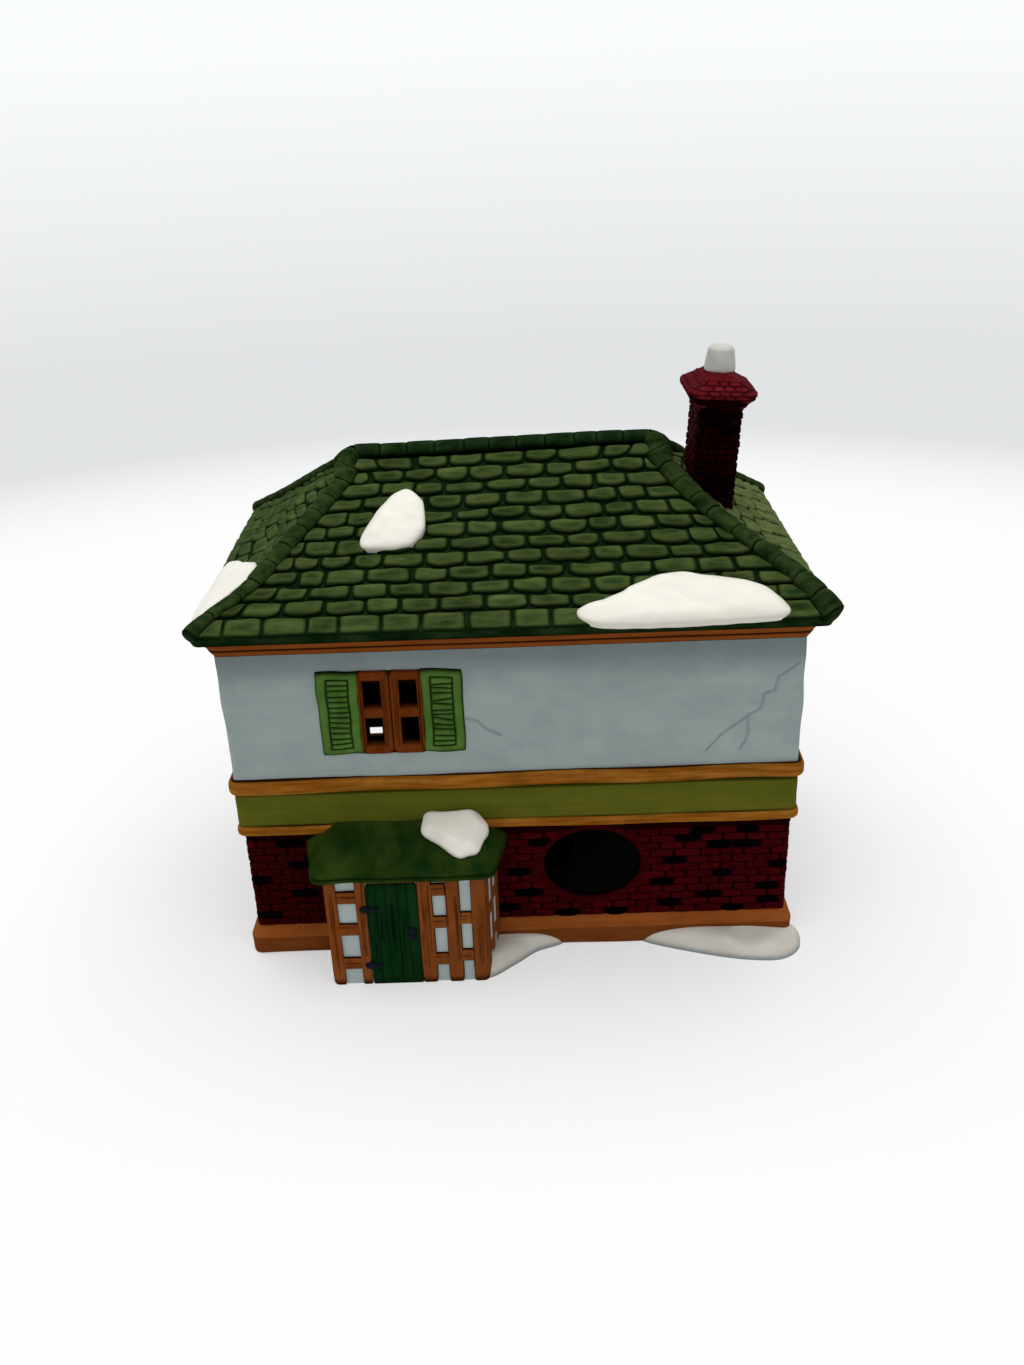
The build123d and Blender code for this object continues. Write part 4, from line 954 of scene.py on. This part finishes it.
# Columns of infill panels, from the front's or the cheek's middle: left, right, and middles of their rails
FRONT_PANELS = (
    (-20.8, -15.2, (8.3, 21.2, 33.0)), (8.15, 11.85, (9.0, 23.0, 35.0)), (16.5, 19.5, (10.2, 24.3)))
CHEEK_PANELS = ((-4.5, -1.9, (9.0, 23.5)), (1.3, 3.9, (11.0, 25.0)))


def porch_face(a, b, out):
    """The surface round the porch, which widens towards the house."""
    points = porch_box(a, b, out)
    widen = 1 + PORCH_LEAN * (points[..., 1] - PORCH_FRONT) / PORCH_HALF
    points[..., 0] = PORCH_MID + (points[..., 0] - PORCH_MID) * widen
    return points


infill = Piece()
uu, zz = np.meshgrid(np.linspace(-CHEEK - PORCH_DEPTH / 2, CHEEK + PORCH_DEPTH / 2, 180),
                     np.linspace(TABLE, PORCH_TOP + 1.0, 60), indexing="ij")
stand = np.where(np.abs(uu) > CHEEK - PORCH_DEPTH / 2 + 1, CHEEK_OUT, INFILL_OUT)
infill.grid(porch_face(uu, zz, stand + 0.06 * ripple(uu, zz, 12, 170)))
infill.make("porch_walls", INFILL, "infill", "porch_infill")

timbers = Piece()


def timber(left, right, low, high, upright, seed):
    """Adds one rough timber on the porch, scored along its grain."""
    dice = np.random.default_rng(seed)
    height = high - low
    lines = []
    if upright:
        for x in dice.uniform(left + 0.4, right - 0.4, max(2, int((right - left) / 0.8))):
            start = dice.uniform(low, low + 0.6 * height)
            lines.append(((x, start), (x + dice.normal(0, 0.25), start + dice.uniform(0.2, 0.6) * height)))
    else:
        for y in dice.uniform(low + 0.8, high - 0.8, 2):
            lines.append(((left + 0.3, y), (right - 0.3, y + dice.normal(0, 0.2))))
    wobble = dice.normal(0, 0.16, 4)
    pillow(timbers, porch_face, left + wobble[:2], right + wobble[2:], low, high,
           cells=(18, 80) if upright else (14, 16), tone=dice.uniform(0.4, 0.6),
           score=strokes(lines, 0.17, 0.16, 0.75), **BEAM)


def framing(middle, half, columns, seed):
    """Adds the posts between columns of panels, from edge to edge of a wall, and the columns' rails."""
    edges = [-half] + [v for left, right, _ in columns for v in (left, right)] + [half]
    for k, (left, right) in enumerate(zip(edges[::2], edges[1::2])):
        timber(middle + left, middle + right, TABLE, POST_TOP, True, seed + k)
    for k, (left, right, rails) in enumerate(columns):
        for j, rail in enumerate(rails):
            low, high = rail - RAIL_HEIGHT / 2, rail + RAIL_HEIGHT / 2
            timber(middle + left - 0.4, middle + right + 0.4, low, high, False, seed + 10 + 4 * k + j)


door_bay = (DOOR_LEFT, DOOR_RIGHT, ())
framing(0.0, PORCH_HALF, sorted(FRONT_PANELS + (door_bay,)), 180)
timber(DOOR_LEFT - 0.6, DOOR_RIGHT + 0.6, DOOR_TOP, POST_TOP, False, 176)
for hand in (-1, 1):
    framing(hand * CHEEK, PORCH_DEPTH / 2, CHEEK_PANELS, 220 + 20 * hand)
timbers.make("porch_timbers", TIMBER, "timber")

BOARDS, SCRATCHES = 5, 9
BOARDED = dict(thick=0.15, power=16, foot_power=60, crown=12, cells=(60, 80), sink=0.9, wash_edge=0.95)
board = (DOOR_RIGHT - DOOR_LEFT) / BOARDS
last_board = DOOR_RIGHT - board
dice = np.random.default_rng(250)
lines = []
for k in range(1, BOARDS):
    x = DOOR_LEFT + k * board
    lines.append(((x + dice.normal(0, 0.2), 0.5), (x + dice.normal(0, 0.2), DOOR_TOP - 0.5)))
for x in dice.uniform(DOOR_LEFT + 1, last_board, SCRATCHES):
    start = dice.uniform(2, 20)
    lines.append(((x, start), (x + dice.normal(0, 0.3), start + dice.uniform(6, 16))))


def door_tone(a, b):
    """The upper half of the door's last board is lighter."""
    return 0.45 + 0.5 * smooth(a, last_board - 0.2, last_board + 0.2) * smooth(b, 12, 24)


door = Piece()
pillow(door, porch_face, DOOR_LEFT, DOOR_RIGHT, TABLE, DOOR_TOP, tone=door_tone,
       score=strokes(lines, 0.17, 0.18, 0.8), **BOARDED)
door.make("porch_door", DOOR, "door")

KNUCKLE = dict(thick=0.95, power=1.9, crown=3, cells=(12, 10), sink=0.3)
STRAP = dict(thick=0.75, power=1.8, crown=3, cells=(12, 8), sink=0.4)
KNOB = dict(thick=1.0, power=2.4, crown=3, cells=(10, 10), sink=0.4)
LOWER_HINGE, UPPER_HINGE = 7.5, 28.7
LATCH_X, LATCH_Z = DOOR_RIGHT - 2.2, 19.2
hinges, latch = Piece(), Piece()
for level in (LOWER_HINGE, UPPER_HINGE):
    pillow(hinges, porch_face, DOOR_LEFT - 2.3, DOOR_LEFT + 1.5, level - 1.5, level + 1.5, **KNUCKLE)
    pillow(hinges, porch_face, DOOR_LEFT, DOOR_LEFT + 3.8, level - 0.8, level + 0.8, **STRAP)
hinges.make("door_hinges", IRON, "ironwork")
for rise, half in ((1.2, 1.4), (-1.2, 1.2)):
    level = LATCH_Z + rise
    pillow(latch, porch_face, LATCH_X - half, LATCH_X + half, level - 1.5, level + 1.5, **KNOB)
latch.make("door_latch", IRON, "ironwork")

LIP_HEIGHT = 1.7


def porch_roof_shade(points):
    """Painted shade on the porch roof: a dark line along the lip of its eave, and darkening where it meets
    the wall.
    """
    low, high = span("porch_roof")
    lip = hump(points[:, 2], low[2] + LIP_HEIGHT, 0.4)
    return np.maximum(0.9 * lip, 0.7 * smooth(points[:, 1], high[1] - 2.0, high[1] - 0.3))


porch_roof = soften("porch_roof", voxel=0.36, rounds=9, uneven=0.2, size=18, seed=6, wash_and_shade=porch_roof_shade)
put("porch_roof", porch_roof, PORCH_ROOF)


# Snow: glazed pillows on the roofs and drifts on the table

def closed_curve(points, count):
    """A smooth closed path through points, back to its start."""
    place = np.linspace(0, len(points), count + 1)
    near = place.astype(int)
    t = (place - near)[:, None]
    p0, p1, p2, p3 = (np.array(points)[(near + k) % len(points)] for k in (-1, 0, 1, 2))
    return p1 + t * (p2 - p0 + t * (2 * p0 - 5 * p1 + 4 * p2 - p3 + t * (3 * (p1 - p2) + p3 - p0))) / 2


def mound(piece, surface, points, centre, foot, rise, seed):
    """Adds a domed patch of snow from its outline, the middle it swells from, its rim and its height."""
    path = closed_curve(points, 120)
    share = np.sin(np.linspace(0, 1, 16) * math.pi / 2)[:, None]
    a, b = (centre[k] + share * (path[:, k] - centre[k]) for k in (0, 1))
    out = foot + rise * (1 - share ** 3.2) ** 0.6 * (1 + 0.16 * ripple(a, b, 15, seed))
    # The outline is painted darker: painted shade along the edge of the snow.
    piece.grid(surface(a, b, np.where(share > 0.999, 0.0, out))[::-1], 0.5 * smooth(share[::-1], 0.9, 1.0))


def table(a, b, out):
    """The table's surface round the house: a to the right, b to the rear, out up."""
    return flat((0, HOUSE_Y, 0), (1, 0, 0), (0, 1, 0))(a, b, np.maximum(out, TABLE))


# Snow patches: the slope each lies on, the middle it swells from, and its outline along and up that slope
PATCHES = {
    "roof_snow_upper": ("front", (-34.0, 38.0), [
        (-45.0, 30.6), (-39.0, 27.5), (-29.0, 28.8), (-24.6, 35.0), (-25.2, 44.5), (-30.5, 49.9),
        (-37.6, 46.8), (-42.6, 38.6)]),
    "roof_snow_eave": ("front", (51.0, 4.0), [
        (19.0, 3.4), (24.0, -1.4), (42.0, -2.3), (62.0, -1.8), (77.4, -0.6), (76.4, 4.6), (69.0, 11.4),
        (57.0, 14.0), (48.0, 16.0), (38.0, 13.0), (29.0, 8.0)]),
    "roof_snow_side": ("left", (33.0, 6.4), [
        (9.0, 3.2), (30.0, 1.2), (52.0, 1.2), (45.0, 8.6), (36.0, 14.0), (27.0, 13.4), (17.0, 8.4)]),
    "roof_snow_rear": ("rear", (26.0, 28.0), [
        (12.6, 24.0), (27.0, 19.0), (39.0, 26.0), (33.0, 36.0), (18.0, 34.4)]),
}
# Drifts: the middle each swells from and its outline on the table
DRIFTS = {
    "porch_drift": ((-6.0, -55.0), [
        (-10.6, -68.0), (-2.0, -62.0), (4.8, -56.0), (13.4, -51.6), (4.0, -47.0), (-13.0, -47.0),
        (-14.4, -60.0)]),
    "corner_drift": ((68.0, -53.0), [
        (39.2, -52.0), (54.4, -58.5), (70.6, -63.1), (83.0, -63.4), (89.6, -56.6), (87.0, -46.4),
        (62.0, -46.0), (43.0, -47.4)]),
}
PATCH_FOOT, PATCH_RISE = 1.9, 2.0
DRIFT_FOOT, DRIFT_RISE = 0.1, 5.0
for k, (node, (side, centre, points)) in enumerate(PATCHES.items()):
    patch = Piece()
    mound(patch, slope(side)[0], points, centre, PATCH_FOOT, PATCH_RISE, 20 + k)
    patch.make(node, SNOW, "snow")
porch_snow = soften("porch_snow", voxel=0.45, rounds=24, uneven=0.25, size=11, seed=24)
put("porch_snow", porch_snow, SNOW)
for k, (node, (centre, points)) in enumerate(DRIFTS.items()):
    drift = Piece()
    mound(drift, table, points, centre, DRIFT_FOOT, DRIFT_RISE, 30 + k)
    drift.make(node, DRIFT, "snow")


# Floor that fades into a pale backdrop, soft lamps and the camera

def seen_rays(tree):
    """A socket that is 1 for what the camera sees, also in a reflection or through glass."""
    path = add(tree, "LightPath").outputs
    sockets = {0: path["Is Glossy Ray"], 1: path["Is Transmission Ray"]}
    mirrored = add(tree, "Math", sockets, operation="MAXIMUM").outputs[0]
    return add(tree, "Math", {0: path["Is Camera Ray"], 1: mirrored}, operation="MAXIMUM").outputs[0]


# Distances from the house's middle, in metres. The floor is painted dark only inside the plinth, as the
# shade inside the house where it shows through the pour hole, and it fades out towards the backdrop.
PLINTH_INSIDE, FLOOR_FADE = (0.030, 0.036), (0.42, 0.62)
FLOOR_PALE, FLOOR_WHITE = 0.96, 0.4
floor_mesh = bpy.data.meshes.new("floor")
floor_mesh.from_pydata([(-1, -1, 0), (1, -1, 0), (1, 1, 0), (-1, 1, 0)], [], [(0, 1, 2, 3)])
floor = show("floor", floor_mesh)
floor_paint = bpy.data.materials.new("floor paint")
floor_paint.use_nodes = True
tree = floor_paint.node_tree
floor_bsdf = tree.nodes["Principled BSDF"]
floor_bsdf.inputs["Roughness"].default_value = 0.8
floor_bsdf.inputs["Specular IOR Level"].default_value = 0.1
position = add(tree, "NewGeometry").outputs["Position"]
distance = add(tree, "VectorMath", {0: position}, operation="LENGTH").outputs["Value"]
pale = remap(tree, distance, *PLINTH_INSIDE, 0.0, FLOOR_PALE)
white = add(tree, "Emission", {"Color": pale}).outputs[0]
share = add(tree, "Math", {0: seen_rays(tree), 1: FLOOR_WHITE}, operation="MULTIPLY").outputs[0]
lifted = add(tree, "MixShader", {0: share, 1: floor_bsdf.outputs[0], 2: white}).outputs[0]
clear = add(tree, "BsdfTransparent").outputs[0]
fading = add(tree, "MixShader", {0: remap(tree, distance, *FLOOR_FADE), 1: lifted, 2: clear}).outputs[0]
tree.links.new(pale, floor_bsdf.inputs["Base Color"])
tree.links.new(fading, tree.nodes["Material Output"].inputs["Surface"])
floor_mesh.materials.append(floor_paint)

# Backdrop behind the floor: height of the line of sight, from 0 straight down to 1 straight up, and grey
BACKDROP = ((0.34, 253), (0.37, 227), (0.40, 226), (0.51, 252))
AMBIENT = 0.38
world = bpy.data.worlds.new("studio")
world.use_nodes = True
tree = world.node_tree
around_light = tree.nodes["Background"]
around_light.inputs["Color"].default_value = (1.0, 1.0, 1.0, 1)
around_light.inputs["Strength"].default_value = AMBIENT
sight = add(tree, "TexCoord").outputs["Generated"]
rise = remap(tree, add(tree, "SeparateXYZ", {0: sight}).outputs[2], -1.0, 1.0)
ramp = add(tree, "ValToRGB", {0: rise})
while len(ramp.color_ramp.elements) < len(BACKDROP):
    ramp.color_ramp.elements.new(0.5)
for stop, (place, grey) in zip(ramp.color_ramp.elements, BACKDROP):
    stop.position, stop.color = place, tint(grey - 2, grey, min(grey + 2, 255))
backdrop = add(tree, "Background", {"Color": ramp.outputs[0]}).outputs[0]
blend = add(tree, "MixShader", {0: seen_rays(tree), 1: around_light.outputs[0], 2: backdrop}).outputs[0]
tree.links.new(blend, tree.nodes["World Output"].inputs["Surface"])
bpy.context.scene.world = world
bpy.context.scene.view_settings.view_transform = "Standard"


def area(name, place, target, size, power):
    """A soft lamp at place that faces target, in metres."""
    lamp = bpy.data.lights.new(name, "AREA")
    lamp.size, lamp.energy = size, power
    holder = show(name, lamp)
    holder.location = place
    holder.rotation_euler = (Vector(target) - Vector(place)).to_track_quat("-Z", "Y").to_euler()


area("top", (0.0, 0.1, 1.9), (0, 0, 0.08), size=2.4, power=36)
area("front", (-0.4, -1.5, 0.6), (0, 0, 0.07), size=1.0, power=2.5)

# Camera fitted to the photo's straight edges: place, then turn, tilt down and roll
FOCAL_PIXELS, FRAME_HEIGHT = 1250.0, 1365.0
CAMERA_PLACE = Vector((3.09, HOUSE_Y - 379.72, 256.59)) * MM
YAW, PITCH_DOWN, ROLL = (math.radians(angle) for angle in (-0.532, 26.211, -2.169))
turned = Matrix.Rotation(-YAW, 4, "Z") @ Matrix.Rotation(math.pi / 2 - PITCH_DOWN, 4, "X")
camera_data = bpy.data.cameras.new("camera")
camera_data.sensor_fit, camera_data.sensor_height = "VERTICAL", 36.0
camera_data.lens = camera_data.sensor_height * FOCAL_PIXELS / FRAME_HEIGHT
camera = show("camera", camera_data)
camera.matrix_world = Matrix.Translation(CAMERA_PLACE) @ turned @ Matrix.Rotation(ROLL, 4, "Z")
bpy.context.scene.camera = camera
